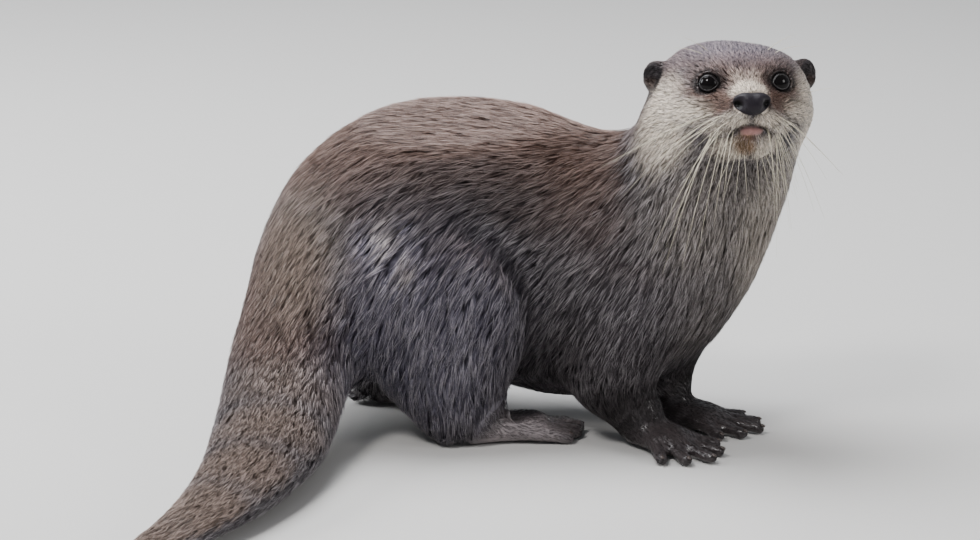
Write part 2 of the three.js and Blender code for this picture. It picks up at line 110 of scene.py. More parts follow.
@dataclass(frozen=True)
class Toes:
    """Headings, lengths and roots of a foot's digits.

    Args:
        headings: One heading for each digit.
        lengths: One length for each digit.
        root: Distance of the middle digit's root from the frame's origin.
        spread: Sideways step between roots.
        back: How far each root lies behind the one nearer the middle.
        thick: Thickness of a digit.
    """

    headings: tuple[float, ...]
    lengths: tuple[float, ...]
    root: float
    spread: float
    back: float
    thick: float

    def tip(self, number: int) -> tuple[float, float, float]:
        """Returns forward and left places of a digit's tip, and its heading."""
        off = number - 2
        angle = math.radians(self.headings[number])
        forward = self.root - abs(off) * self.back + math.cos(angle) * self.lengths[number]
        left = off * self.spread + math.sin(angle) * self.lengths[number]
        return forward, left, self.headings[number]


FINGERS = Toes((-34, -16, 1, 18, 38), (17, 22, 24, 22, 16), 22, 5.2, 2.4, 7.2)
TOES = Toes((-20, -9, 0, 9, 21), (19, 23, 25, 23, 17), 43.5, 4.6, 2.2, 8.6)

SPINE = (
    (-92, 0, 50), (-82, 0, 76), (-60, 1, 98), (-31, 2, 105), (2, 2, 97), (36, -3, 83),
    (66, -9, 87), (90, -16, 102), (104, -21, 127), (112, -23, 151), (117, -22, 172),
)  # fmt: skip
TAIL = (
    (-92, -14, 62), (-97, -28, 48), (-102, -66, 28), (-107, -108, 17.8), (-115, -152, 14.6),
    (-130, -194, 10.9), (-149, -224, 7), (-172, -250, 4.6),
)  # fmt: skip


@dataclass(frozen=True)
class EyePlace:
    """Where an eyeball sits in the head, and how wide its lids open."""

    f: float = 30.3
    a: float = 16.6
    h: float = 1.2
    radius: float = 5.9
    outward: float = 18.0
    upward: float = 5.0
    half_width: float = 3.6
    half_height: float = 3.3

    def centre(self, sign: int) -> Vector:
        """Returns the eyeball's centre on one side."""
        return HEAD.point(self.f, sign * self.a, self.h)

    def axes(self, sign: int) -> tuple[Vector, Vector, Vector]:
        """Returns the eye's looking, outward and upward directions."""
        out, rise = math.radians(self.outward), math.radians(self.upward)
        look = HEAD.heading(math.cos(out) * math.cos(rise), sign * math.sin(out), math.sin(rise))
        sideways = HEAD.heading(0, sign, 0)
        side = (sideways - look * sideways.dot(look)).normalized()
        up = look.cross(side) * sign
        return look, side, up if up.z > 0 else -up

    def around(self, points: Array, sign: int) -> tuple[Array, Array, Array]:
        """Returns where points lie beside one eye.

        Args:
            points: Places in metres.
            sign: 1 for the left eye, -1 for the right.

        Returns:
            Distance past the opening as a share of its size, height along the eye's look in millimetres, and
            directions away from the eye.
        """
        look, side, up = (np.array(v) for v in self.axes(sign))
        off = (points - np.array(self.centre(sign))) / MM
        across, high = off @ side, off @ up
        past = np.hypot(across / self.half_width, high / self.half_height)
        away = unit(across[:, None] * side + high[:, None] * up)
        return past, off @ look, away


EYE = EyePlace()


@dataclass(frozen=True)
class MouthPlace:
    """The lip line: an arch in the head's cross direction, its top, radius and half width."""

    top: float = -19.6
    radius: float = 12.8
    half_width: float = 10.5
    front: float = 36.0
    lip_half_width: float = 6.0
    lip_height: float = 4.2

    def away(self, local: Array) -> Array:
        """Returns how far local places lie above the lip line, 99 where there is no mouth."""
        f, a, h = local.T
        arch = self.top - self.radius + np.sqrt(np.maximum(self.radius**2 - a**2, 1.0))
        near = (f > self.front) & (np.abs(a) < self.half_width + 2)
        return np.where(near, h - arch, 99.0)


MOUTH = MouthPlace()


# ---------------------------------------------------------------- small helpers
def smooth_step(low: float, high: float, value: Array) -> Array:
    """Returns 0 below low, 1 above high and a smooth rise between, also where low is above high."""
    share = np.clip((value - low) / (high - low), 0, 1)
    return share * share * (3 - 2 * share)


def unit(vectors: Array) -> Array:
    """Returns rows scaled to length 1."""
    return vectors / np.maximum(np.linalg.norm(vectors, axis=1, keepdims=True), 1e-12)


def away_from(points: Array, places: tuple[Point, ...], place: Placing = POSE) -> Array:
    """Returns the distance in millimetres from each point to the nearest of some places."""
    local = place.local(points)
    return np.min([np.linalg.norm(local - np.array(p), axis=1) for p in places], axis=0)


def beyond_nose(points: Array) -> Array:
    """Returns how far each point is from the nose pad's middle, 1 at its edge."""
    return np.linalg.norm((HEAD.local(points) - np.array((53.5, 0, -9.3))) / np.array((7, 9.5, 5.2)), axis=1)


def new_object(name: str, mesh: bpy.types.Mesh) -> Piece:
    """Returns a new object in the scene that holds a mesh."""
    obj = bpy.data.objects.new(name, mesh)
    bpy.context.collection.objects.link(obj)
    return obj


def made_object(name: str, made: bmesh.types.BMesh) -> Piece:
    """Returns a new object with a bmesh's shape, and frees the bmesh."""
    mesh = bpy.data.meshes.new(name)
    made.to_mesh(mesh)
    made.free()
    return new_object(name, mesh)


def merged(name: str) -> bmesh.types.BMesh:
    """Returns the shape of a solid with its loose triangles merged."""
    made = bmesh.new()
    made.from_mesh(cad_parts[name].data)
    bmesh.ops.remove_doubles(made, verts=made.verts, dist=0.01 * MM)
    return made


def settled(obj: Piece, name: str) -> Piece:
    """Returns a new object with all modifiers of another one applied, and removes that one."""
    graph = bpy.context.evaluated_depsgraph_get()
    mesh = bpy.data.meshes.new_from_object(obj.evaluated_get(graph))
    bpy.data.objects.remove(obj)
    mesh.name = name
    return new_object(name, mesh)


def vertex_array(mesh: bpy.types.Mesh, what: str = "co") -> Array:
    """Returns the places or normals of a mesh's vertices."""
    source = mesh.vertices if what == "co" else mesh.vertex_normals
    flat = np.empty(len(mesh.vertices) * 3, np.float32)
    source.foreach_get("co" if what == "co" else "vector", flat)
    return flat.reshape(-1, 3).astype(float)


def move_vertices(mesh: bpy.types.Mesh, places: Array) -> None:
    """Puts a mesh's vertices at new places."""
    mesh.vertices.foreach_set("co", places.astype(np.float32).ravel())
    mesh.update()


def add_attribute(mesh: bpy.types.Mesh, name: str, values: Array) -> None:
    """Stores one number for each vertex."""
    layer = mesh.attributes.new(name, "FLOAT", "POINT")
    layer.data.foreach_set("value", values.astype(np.float32))


def shade_smooth(obj: Piece) -> None:
    """Gives an object smooth shading."""
    obj.data.polygons.foreach_set("use_smooth", [True] * len(obj.data.polygons))


def put_on(obj: Piece, material: Material, slot: str, *nodes: str) -> None:
    """Dresses a finished piece and fixes it to the body.

    Args:
        obj: The piece.
        material: Its finish.
        slot: Name of the finish's kind; not used.
        *nodes: The solids that it stands for.
    """
    obj.data.materials.clear()
    obj.data.materials.append(material)
    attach(obj, "root")
    if nodes:
        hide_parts(*nodes)
    LOG.info("%s: %d faces", obj.name, len(obj.data.polygons))


# ---------------------------------------------------------------- markings and painted light and shade, shared by skin and coat
class Mask(Enum):
    """The markings, painted light and shade among them, each a number from 0 to 1 on skin and coat."""

    PALE = "pale"
    WARM = "warm"
    COOL = "cool"
    DARK = "dark"
    STAIN = "stain"
    BARE = "bare"
    LIP = "lip"
    SEAM = "seam"


@dataclass(frozen=True)
class Patch:
    """One soft-edged ellipsoidal patch of a marking; some patches are painted light, others painted shade.

    Args:
        mask: The marking that it belongs to.
        at: Its middle.
        radii: Its half sizes along the axes of its frame.
        amount: The marking's strength in the middle.
        on: The frame in which it lies.
        both: Whether it has a mirror image across the frame's middle.
        soft: Width of its edge as a share of its size.
    """

    mask: Mask
    at: Point
    radii: Point
    amount: float = 1.0
    on: Placing = HEAD
    both: bool = False
    soft: float = 0.5

    def strength(self, points: Array) -> Array:
        """Returns the patch's strength at each point."""
        local = self.on.local(points)
        if self.both:
            local[:, 1] = np.abs(local[:, 1])
        share = np.linalg.norm((local - np.array(self.at)) / np.array(self.radii), axis=1)
        return self.amount * smooth_step(1 + self.soft, 1 - self.soft, share)


@dataclass(frozen=True)
class Fold:
    """The crease in front of a thigh, round part of an oval seen from the side.

    Args:
        at: The thigh's middle.
        radii: Its half length and half height.
        angles: Where the crease starts and ends, 0 at the front and 90 at the top.
        depth: How deep it is.
        swell: How far the thigh stands out beside it.
        shade: Strength of the painted shade that darkens the coat in it.
    """

    at: Point
    radii: tuple[float, float]
    angles: tuple[float, float] = (-45.0, 66.0)
    depth: float = 4.5
    swell: float = 1.6
    shade: float = 0.6

    def place(self, points: Array) -> tuple[Array, Array]:
        """Returns how far each point is beyond the oval, and how much of the crease there is beside it."""
        x, y, z = (POSE.local(points) - np.array(self.at)).T
        across, high = x / self.radii[0], z / self.radii[1]
        angle = np.degrees(np.arctan2(high, across))
        low, top = self.angles
        share = smooth_step(low - 14, low + 14, angle) * smooth_step(top + 10, top - 36, angle)
        side = smooth_step(-6, 4, y * math.copysign(1, self.at[1]))
        return (np.hypot(across, high) - 1) * self.radii[0], share * side

    def depth_at(self, points: Array) -> Array:
        """Returns how deep the crease is at each point, less where the thigh swells."""
        beyond, share = self.place(points)
        width = np.where(beyond < 2.5, 3.2, 8.0)
        groove = self.depth * np.exp(-(((beyond - 2.5) / width) ** 2))
        return share * (groove - self.swell * np.exp(-(((beyond + 6) / 5.5) ** 2)))

    def painted_shade_at(self, points: Array) -> Array:
        """Returns how much painted shade darkens the coat in the crease."""
        beyond, share = self.place(points)
        width = np.where(beyond < 3.5, 2.6, 10.0)
        return share * np.exp(-(((beyond - 3.5) / width) ** 2)) * self.shade


FOLDS = (Fold((-34, -40, 60), (53, 62)), Fold((-56, 40, 62), (50, 60)))


def patches(mask: Mask, on: Placing, both: bool, *rows: tuple) -> tuple[Patch, ...]:
    """Returns patches of one marking in one frame.

    Args:
        mask: The marking.
        on: The frame.
        both: Whether they have mirror images.
        *rows: For each patch its middle, half sizes, strength and soft edge.
    """
    return tuple(Patch(mask, at, radii, amount, on, both, soft) for at, radii, amount, soft in rows)


PATCHES = (
    *patches(Mask.COOL, HEAD, False, ((4, 0, 16), (34, 30, 14), 0.45, 0.5)),  # crown
    *patches(Mask.WARM, HEAD, False, ((26, 0, 6), (22, 26, 14), 0.8, 0.5)),  # forehead
    *patches(Mask.WARM, HEAD, True, ((42, 13, -8), (14, 9, 6), 1.0, 0.5)),  # sides of the snout
    *patches(
        Mask.PALE,
        HEAD,
        False,
        ((26, 33, -8), (18, 9, 16), 0.95, 0.5),  # left cheek only: painted light on the side facing away from the key lamp
        ((49, 0, -2.0), (8, 10, 4.8), 1.0, 0.35),  # bridge of the nose: pale band with a painted highlight
    ),
    *patches(
        Mask.PALE,
        HEAD,
        True,
        ((30, 26, -12), (16, 12, 6), 1.0, 0.5),  # under the eyes
        ((14, 36, -16), (22, 14, 20), 1.0, 0.5),  # cheeks
        ((20, 33, -1), (12, 6, 8), 0.6, 0.6),  # behind the eyes
        ((44, 3, 3), (8, 4, 5), 0.35, 0.7),  # beside the bridge
        ((50, 7, -16.5), (10, 7, 4.5), 0.95, 0.4),  # upper lip
        ((42, 13, -19), (12, 8, 5), 0.75, 0.5),  # beside the mouth
        ((40, 8, -30), (16, 10, 6.5), 1.0, 0.4),  # chin
    ),
    *patches(
        Mask.DARK,
        HEAD,
        True,
        ((41, 14, -8), (13, 7, 3.8), 0.52, 0.6),  # sides of the snout
        ((34, 22, -8.5), (12, 6, 2.4), 0.4, 0.8),
        ((33, 16.8, 1.4), (9, 6.6, 5.8), 0.96, 0.3),  # round the eyes
        ((37, 11.5, 3), (10, 5, 5.5), 0.7, 0.6),
        ((26, 18, 9), (12, 9, 4), 0.4, 0.7),  # brows
        ((-3, 38.5, 6.5), (9, 9.5, 10), 0.72, 0.22),  # ears
        # the ear's cup, darker still: painted shade in its hollow
        ((-1, 37.5, 6.0), (6, 5.5, 6.0), 0.95, 0.25),
    ),
    *patches(
        Mask.DARK,
        HEAD,
        False,
        ((34, 0, 10), (12, 6, 6), 0.4, 0.8),  # forehead
        ((50, -4, -26.5), (12, 2.8, 3.4), 0.4, 0.8),  # in the stain on the chin
        ((22, 0, -42), (20, 22, 10), 0.42, 0.6),  # painted shadow under the chin
    ),
    *patches(Mask.STAIN, HEAD, False, ((50, -3.2, -28), (12, 5, 5), 0.9, 0.6)),
    *patches(
        Mask.COOL,
        POSE,
        False,
        ((-30, -66, 70), (50, 40, 54), 0.5, 0.5),  # right haunch: painted reflection of the sky on wet fur
        # painted sheen on the top of the right haunch
        ((-44, -58, 112), (20, 24, 14), 0.75, 0.6),
    ),
    *patches(
        Mask.PALE,
        POSE,
        False,
        ((-46, -58, 116), (8, 24, 10), 0.28, 0.7),  # wet sheen on the right haunch
        ((-37, -58, 103), (5, 24, 8), 0.24, 0.7),
        ((112, -52, 128), (34, 26, 34), 0.22, 0.5),  # throat and chest
        ((108, -44, 90), (26, 20, 40), 0.14, 0.6),
        ((132, -30, 124), (18, 34, 46), 0.5, 0.5),
        ((-94, -40, 104), (26, 40, 34), 0.24, 0.6),  # painted light on the top of the rump
    ),
    *patches(Mask.WARM, POSE, False, ((-104, -40, 84), (30, 46, 60), 0.7, 0.5)),  # rump
    *patches(
        Mask.DARK,
        POSE,
        False,
        ((68, -48, 10), (34, 32, 42), 0.88, 0.5),  # forelegs
        ((98, -2, 10), (32, 32, 60), 0.96, 0.45),
        ((-45, 32, -2), (46, 24, 26), 0.5, 0.4),  # left hind leg
        ((34, -60, 44), (34, 30, 30), 0.5, 0.6),  # painted shade low on the flank, in front of the thigh
        # painted shade low on the chest
        ((90, -70, 46), (24, 28, 24), 0.55, 0.6),
        ((0, -52, 132), (48, 22, 20), 0.46, 0.7),  # painted shade on the upper flank, below the lit back
        ((10, -10, 18), (60, 44, 22), 0.5, 0.5),  # painted shade under the belly
    ),
    *(
        patch
        for sole in (Sole.RIGHT_FORE, Sole.LEFT_FORE)
        for patch in (
            Patch(Mask.DARK, (26, 0, 4), (34, 26, 16), 0.9, sole.value, soft=0.4),
            Patch(Mask.BARE, (22, 0, 4), (26, 20, 13), 1.0, sole.value, soft=0.25),
        )
    ),
    *(
        Patch(Mask.BARE, (46, 0, 4), (36, 20, 16), 1.0, sole.value, soft=0.2)
        for sole in (Sole.RIGHT_HIND, Sole.LEFT_HIND)
    ),
)


class MarkingsAndPaintedLight:
    """Works out every marking, painted light and shade included, at any place, the same for skin and coat.

    Args:
        back_warmth: Strength of the warm colour along the back.
        tail_warmth: The same on top of the tail.
        tail_paleness: Strength of the pale colour there, painted light on the tail's upward faces.
        eye_rim: Strength of the black round the eyes.
        lip_front: The lip's least forward place on the head.
        seam: Half width of the dark line between the lips.
        parting: Half width of the line from nose to mouth.
    """

    back_warmth: float = 0.8
    tail_warmth: float = 0.7
    tail_paleness: float = 0.16
    eye_rim: float = 0.92
    lip_front: float = 40.0
    seam: float = 1.4
    parting: float = 0.7

    def at(self, points: Array, normals: Array) -> dict[str, Array]:
        """Returns the strength of each marking, painted light and shade included.

        Args:
            points: Places in metres.
            normals: The surface's directions there.

        Returns:
            One array for each marking, by name.
        """
        found = {mask.value: np.zeros(len(points)) for mask in Mask}
        for patch in PATCHES:
            name = patch.mask.value
            found[name] = np.maximum(found[name], patch.strength(points))
        # Painted shade: the coat darkens in the creases in front of the thighs.
        for fold in FOLDS:
            found["dark"] = np.maximum(found["dark"], fold.painted_shade_at(points))
        z = points[:, 2] / MM
        back = smooth_step(0.1, 0.85, normals[:, 2]) * smooth_step(60, 110, z)
        found["warm"] = np.maximum(found["warm"], back * self.back_warmth * (1 - found["cool"]))
        tail = smooth_step(40, 14, away_from(points, TAIL)) * smooth_step(0.0, 0.6, normals[:, 2])
        found["warm"] = np.maximum(found["warm"], tail * self.tail_warmth)
        # Painted light: the tail's upward faces are paler.
        found["pale"] = np.maximum(found["pale"], tail * self.tail_paleness)
        local = HEAD.local(points)
        below = -MOUTH.away(local)
        height = MOUTH.lip_height * (1 - (local[:, 1] / MOUTH.lip_half_width) ** 4)
        lip = smooth_step(-0.2, 0.6, below) * smooth_step(height + 1.2, height - 1.0, below)
        sideways = np.abs(local[:, 1])
        found["lip"] = lip * (sideways < MOUTH.lip_half_width) * (local[:, 0] > self.lip_front)
        seam = np.exp(-((below / self.seam) ** 2))
        seam = seam * smooth_step(MOUTH.half_width + 1.5, MOUTH.half_width - 1, sideways)
        parting = np.exp(-((local[:, 1] / self.parting) ** 2)) * (local[:, 0] > 48)
        parting = parting * smooth_step(-13, -15, local[:, 2]) * (below < 0) * 0.5
        found["seam"] = np.maximum(seam, parting)
        for sign in SIDES.values():
            past, height, _ = EYE.around(points, sign)
            rim = smooth_step(1.85, 1.3, past) * smooth_step(0.5, 2.0, height)
            found["seam"] = np.maximum(found["seam"], rim * self.eye_rim)
        return found


MARKINGS_AND_PAINTED_LIGHT = MarkingsAndPaintedLight()


# ---------------------------------------------------------------- finishes
Colour = tuple[float, float, float]


def from_screen(red: int, green: int, blue: int) -> Colour:
    """Returns a linear colour for one given in 0 to 255 steps."""
    shades = (red, green, blue)
    return tuple(((c / 255 + 0.055) / 1.055) ** 2.4 if c > 10 else c / 255 / 12.92 for c in shades)


@dataclass(frozen=True)
class CoatColours:
    """The otter's colours, from the hair's roots to its markings, with the colours of painted sheen and
    highlights.
    """

    flank: Colour = from_screen(79, 74, 78)
    back: Colour = from_screen(109, 81, 68)
    crown_and_painted_sheen: Colour = from_screen(120, 117, 139)
    pale: Colour = from_screen(250, 236, 216)
    dark: Colour = from_screen(36, 30, 30)
    rim: Colour = from_screen(17, 13, 14)
    stain: Colour = from_screen(146, 112, 72)
    lip: Colour = from_screen(142, 102, 97)
    hide: Colour = from_screen(138, 129, 130)
    silver: Colour = from_screen(214, 207, 209)
    warm_painted_highlight: Colour = from_screen(187, 158, 144)


COLOURS = CoatColours()


class NodeMaker:
    """Adds nodes to a tree and links them in one call."""

    def __init__(self, tree: bpy.types.NodeTree) -> None:
        """Starts with a tree's own nodes."""
        self.tree = tree

    def add(self, kind: str, settings: dict | None = None, **inputs: object) -> bpy.types.Node:
        """Adds a node.

        Args:
            kind: The node's type.
            settings: Properties of the node.
            **inputs: Values or sockets, by input name with spaces as underscores, or by number as n0, n1.

        Returns:
            The node.
        """
        node = self.tree.nodes.new(kind)
        for key, value in (settings or {}).items():
            setattr(node, key, value)
        for key, value in inputs.items():
            numbered = key[0] == "n" and key[1:].isdigit()
            socket = node.inputs[int(key[1:]) if numbered else key.replace("_", " ")]
            if isinstance(value, Socket):
                self.tree.links.new(value, socket)
            elif isinstance(value, tuple) and len(value) == 3 and socket.type == "RGBA":
                socket.default_value = (*value, 1.0)
            else:
                socket.default_value = value
        return node

    def attribute(self, name: str) -> Socket:
        """Returns the value of one of the mesh's own attributes."""
        return self.add("ShaderNodeAttribute", {"attribute_name": name}).outputs["Fac"]

    def mix(self, factor: object, first: object, second: object) -> Socket:
        """Returns two colours mixed."""
        node = self.add("ShaderNodeMix", {"data_type": "RGBA"}, n0=factor, n6=first, n7=second)
        return node.outputs[2]

    def maths(self, what: str, first: object, second: object = 0.0) -> Socket:
        """Returns a sum, product or other result of two numbers."""
        return self.add("ShaderNodeMath", {"operation": what}, n0=first, n1=second).outputs[0]

    def between(self, value: object, low: float, high: float, *ends: object) -> Socket:
        """Returns a number moved from the range low to high to the range of the two ends."""
        return self.add("ShaderNodeMapRange", n0=value, n1=low, n2=high, n3=ends[0], n4=ends[1]).outputs[0]

    def scaled(self, colour: object, factor: object) -> Socket:
        """Returns a colour made lighter or darker."""
        return self.add("ShaderNodeVectorMath", {"operation": "SCALE"}, n0=colour, n3=factor).outputs[0]

    def noise(self, scale: float, detail: float = 2.0) -> Socket:
        """Returns a soft random pattern fixed to the piece."""
        place = self.add("ShaderNodeTexCoord").outputs["Object"]
        return self.add("ShaderNodeTexNoise", Vector=place, Scale=scale, Detail=detail).outputs[0]

    def cells(self, scale: float) -> Socket:
        """Returns a pattern of rounded cells fixed to the piece."""
        place = self.add("ShaderNodeTexCoord").outputs["Object"]
        return self.add("ShaderNodeTexVoronoi", Vector=place, Scale=scale).outputs["Distance"]


def coat_colour_group() -> bpy.types.NodeTree:
    """Returns the node group that turns the markings, painted light and shade included, into the otter's
    colours.

    Returns:
        A group with the colour at the root and at the tip of a hair as inputs, and Colour as its output.
    """
    group = bpy.data.node_groups.new("otter_colour", "ShaderNodeTree")
    for name, low in (("Root", 0.42), ("Tip", 1.3), ("Spread", 0.4), ("Silver", 0.2)):
        socket = group.interface.new_socket(name, in_out="INPUT", socket_type="NodeSocketFloat")
        socket.default_value = low
    group.interface.new_socket("Colour", in_out="OUTPUT", socket_type="NodeSocketColor")
    make = NodeMaker(group)
    given = make.add("NodeGroupInput")
    colour = make.mix(make.attribute("warm"), COLOURS.flank, COLOURS.back)
    ticked = make.between(make.attribute("shade"), 0.2, 0.6, 0.55, 1.0)
    for mask, shade in (
        ("cool", COLOURS.crown_and_painted_sheen),
        ("pale", COLOURS.pale),
        ("stain", COLOURS.stain),
        ("bare", COLOURS.hide),
        ("dark", COLOURS.dark),
        ("lip", COLOURS.lip),
        ("seam", COLOURS.rim),
    ):
        factor = make.attribute(mask)
        if mask == "pale":
            factor = make.maths("MULTIPLY", factor, ticked)
        colour = make.mix(factor, colour, shade)
    # Hair darker at the root than at the tip: partly its own colour, partly painted shade deep in the coat.
    along = make.between(make.attribute("tip"), 0.0, 1.0, given.outputs["Root"], given.outputs["Tip"])
    spread = make.maths("SUBTRACT", make.attribute("shade"), 0.5)
    spread = make.maths("MULTIPLY", spread, given.outputs["Spread"])
    light = make.maths("MULTIPLY", along, make.maths("ADD", spread, 1.0))
    lit = make.scaled(colour, light)
    # Painted highlight: the tips of lighter hairs are mixed towards a silver highlight colour, golden on
    # warm fur.
    end = make.maths("POWER", make.attribute("tip"), 1.5)
    bright = make.between(make.attribute("shade"), 0.46, 0.8, 0.0, 1.0)
    lock = make.maths("MULTIPLY", end, bright)
    painted_shine = make.maths("MULTIPLY", lock, given.outputs["Silver"])
    lock = make.maths("MULTIPLY", painted_shine, make.maths("SUBTRACT", 1.0, make.attribute("dark")))
    ends = make.mix(make.attribute("warm"), COLOURS.silver, COLOURS.warm_painted_highlight)
    make.add("NodeGroupOutput", Colour=make.mix(lock, lit, ends))
    return group


Started = tuple[Material, NodeMaker, bpy.types.Node]


def principled(name: str, roughness: float, **constants: float) -> Started:
    """Makes a material with its constants on the shader's own sockets.

    Args:
        name: The material's name.
        roughness: Its roughness.
        **constants: Other inputs, with spaces as underscores.

    Returns:
        The material, a maker of nodes for it and its shader.
    """
    material = bpy.data.materials.new(name)
    material.use_nodes = True
    shader = material.node_tree.nodes["Principled BSDF"]
    shader.inputs["Roughness"].default_value = roughness
    for key, value in constants.items():
        shader.inputs[key.replace("_", " ")].default_value = value
    return material, NodeMaker(material.node_tree), shader


@dataclass(frozen=True)
class FurFinish:
    """Damp guard hair, with a painted highlight on the tips of the lighter hairs."""

    roughness: float = 0.36
    root: float = 0.3
    tip: float = 1.15
    spread: float = 1.3
    silver: float = 0.78

    def material(self, group: bpy.types.NodeTree) -> Material:
        """Returns the coat's material."""
        material, make, shader = principled("otter_fur", self.roughness, Specular_IOR_Level=0.3)
        shades = {"Root": self.root, "Tip": self.tip, "Spread": self.spread, "Silver": self.silver}
        colour = make.add("ShaderNodeGroup", {"node_tree": group}, **shades)
        make.tree.links.new(colour.outputs["Colour"], shader.inputs["Base Color"])
        return material


@dataclass(frozen=True)
class HideFinish:
    """Skin with short flat hair, bare and leathery on the feet."""

    roughness: float = 0.3
    pore_scale: float = 1400.0
    crease_scale: float = 420.0
    depth: float = 0.35
    root: float = 0.85
    tip: float = 1.25

    def material(self, group: bpy.types.NodeTree) -> Material:
        """Returns the skin's material."""
        material, make, shader = principled("otter_hide", self.roughness, Specular_IOR_Level=0.45)
        shades = {"Root": self.root, "Tip": self.tip, "Spread": 0.0, "Silver": 0.0}
        colour = make.add("ShaderNodeGroup", {"node_tree": group}, **shades)
        folds = make.noise(self.crease_scale, 4.0)
        height = make.maths("ADD", make.maths("MULTIPLY", make.cells(self.pore_scale), 0.35), folds)
        bump = make.add("ShaderNodeBump", Strength=self.depth, Distance=0.0006, Height=height)
        # Painted shade: the skin is darker where the bump's folds lie low.
        lit = make.scaled(colour.outputs[0], make.between(folds, 0.3, 0.7, 0.8, 1.25))
        make.tree.links.new(lit, shader.inputs["Base Color"])
        make.tree.links.new(bump.outputs[0], shader.inputs["Normal"])
        return material


@dataclass(frozen=True)
class NoseFinish:
    """Moist, finely pebbled black leather, with painted shade inside the nostrils."""

    colour: Colour = from_screen(20, 17, 23)
    lighter: Colour = from_screen(34, 29, 35)
    roughness: float = 0.42

    def material(self) -> Material:
        """Returns the nose's material."""
        material, make, shader = principled("otter_nose", self.roughness, Specular_IOR_Level=0.18)
        bump = make.add("ShaderNodeBump", Strength=0.35, Distance=0.0003, Height=make.cells(1500.0))
        colour = make.mix(make.noise(500.0), self.colour, self.lighter)
        # Painted shade: black inside the nostrils.
        colour = make.mix(make.attribute("pit"), colour, (0.0, 0.0, 0.0))
        make.tree.links.new(colour, shader.inputs["Base Color"])
        make.tree.links.new(bump.outputs[0], shader.inputs["Normal"])
        return material


def eye_material() -> Material:
    """Returns a nearly black wet eyeball."""
    material, make, shader = principled("otter_eye", 0.03, Specular_IOR_Level=0.16)
    colour = make.mix(make.noise(900.0), from_screen(4, 3, 4), from_screen(12, 8, 7))
    make.tree.links.new(colour, shader.inputs["Base Color"])
    return material


def plain_material(name: str, colour: Colour, roughness: float, **constants: float) -> Material:
    """Returns a material of one colour with slight mottling."""
    material, make, shader = principled(name, roughness, **constants)
    darker = tuple(c * 0.8 for c in colour)
    mottled = make.mix(make.noise(300.0), darker, colour)
    make.tree.links.new(mottled, shader.inputs["Base Color"])
    return material


# ---------------------------------------------------------------- the coat's lie and length
@dataclass(frozen=True)
class Pelt:
    """How the coat grows in one zone.

    Args:
        depth: How far the skin lies inside the coat's tips.
        length: A tuft's length.
        width: A tuft's width.
        density: Tufts for each square millimetre.
        lock: Distance between the middles of wet locks.
        draw: How far a tuft's tip is drawn to its lock's tip, 0 to 1.
        rise: Least height of a tip, as a share of the depth.
    """

    depth: float
    length: float
    width: float
    density: float
    lock: float
    draw: float
    rise: float = 0.55

    def values(self) -> Array:
        """Returns the numbers in order."""
        return np.array([self.depth, self.length, self.width, self.density, self.lock, self.draw, self.rise])


@dataclass(frozen=True)
class Zone:
    """Where a pelt grows: near some places, with a soft edge."""

    pelt: Pelt
    places: tuple[Point, ...]
    reach: float
    soft: float
    on: Placing = POSE

    def share(self, points: Array) -> Array:
        """Returns how much of the pelt each point has."""
        return smooth_step(self.reach + self.soft, self.reach, away_from(points, self.places, self.on))


BODY_PELT = Pelt(5.0, 14.0, 0.35, 0.78, 2.3, 0.45, 0.68)
FOOT_PELT = Pelt(0.4, 2.6, 0.3, 1.2, 1.4, 0.1)
FORELEGS = ((60, -47, 40), (74, -46, 24), (98, 4, 46), (92, -10, 26))
FACE = ((30, 0, 0), (30, 16, -14), (30, -16, -14))
SNOUT = ((48, 0, -10), (48, 6, -18), (48, -6, -18))
ZONES = (
    Zone(Pelt(4.0, 10.0, 0.36, 0.85, 1.8, 0.35, 0.7), SPINE[1:5], 26, 22),
    Zone(Pelt(4.0, 12.0, 0.34, 0.9, 1.8, 0.3, 0.66), TAIL[2:5], 24, 20),
    Zone(Pelt(2.6, 10.0, 0.33, 1.0, 1.6, 0.3, 0.62), TAIL[5:], 20, 18),
    Zone(Pelt(5.2, 15.0, 0.35, 0.84, 3.0, 0.58, 0.6), ((-34, -66, 86), (-50, -62, 50)), 38, 22),
    Zone(Pelt(5.6, 17.0, 0.42, 0.75, 4.5, 0.85, 0.4), ((-46, -56, 116), (-36, -60, 104)), 10, 12),
    Zone(Pelt(4.0, 14.0, 0.34, 1.0, 2.6, 0.62, 0.6), ((112, -48, 118), (110, -50, 95)), 30, 18),
    Zone(Pelt(2.4, 8.0, 0.36, 1.1, 2.0, 0.4), FORELEGS, 16, 16),
    Zone(Pelt(2.1, 6.0, 0.28, 2.5, 1.4, 0.25, 0.55), ((0, 0, 2), (12, 0, -12)), 42, 14, HEAD),
    Zone(Pelt(1.5, 4.6, 0.25, 3.8, 1.3, 0.3, 0.55), FACE, 20, 14, HEAD),
    Zone(Pelt(1.0, 3.0, 0.23, 4.8, 1.2, 0.3, 0.5), SNOUT, 11, 9, HEAD),
    Zone(Pelt(0.7, 3.0, 0.28, 3.0, 1.4, 0.2), ((-7, 37, 7), (-7, -37, 7)), 10, 4, HEAD),
    Zone(Pelt(0.5, 1.8, 0.2, 5.5, 1.0, 0.2, 0.6), ((34, 17, 1), (34, -17, 1)), 4.5, 3.5, HEAD),
    *(Zone(FOOT_PELT, ((8, 0, 6), (30, 0, 5)), 20, 8, s.value) for s in (Sole.RIGHT_FORE, Sole.LEFT_FORE)),
    *(Zone(FOOT_PELT, ((28, 0, 7), (52, 0, 5)), 19, 8, s.value) for s in (Sole.RIGHT_HIND, Sole.LEFT_HIND)),
)


def pelt_at(points: Array) -> Array:
    """Returns one row of a pelt's numbers for each point."""
    found = np.tile(BODY_PELT.values(), (len(points), 1))
    for zone in ZONES:
        share = zone.share(points)[:, None]
        found = found * (1 - share) + zone.pelt.values() * share
    return found


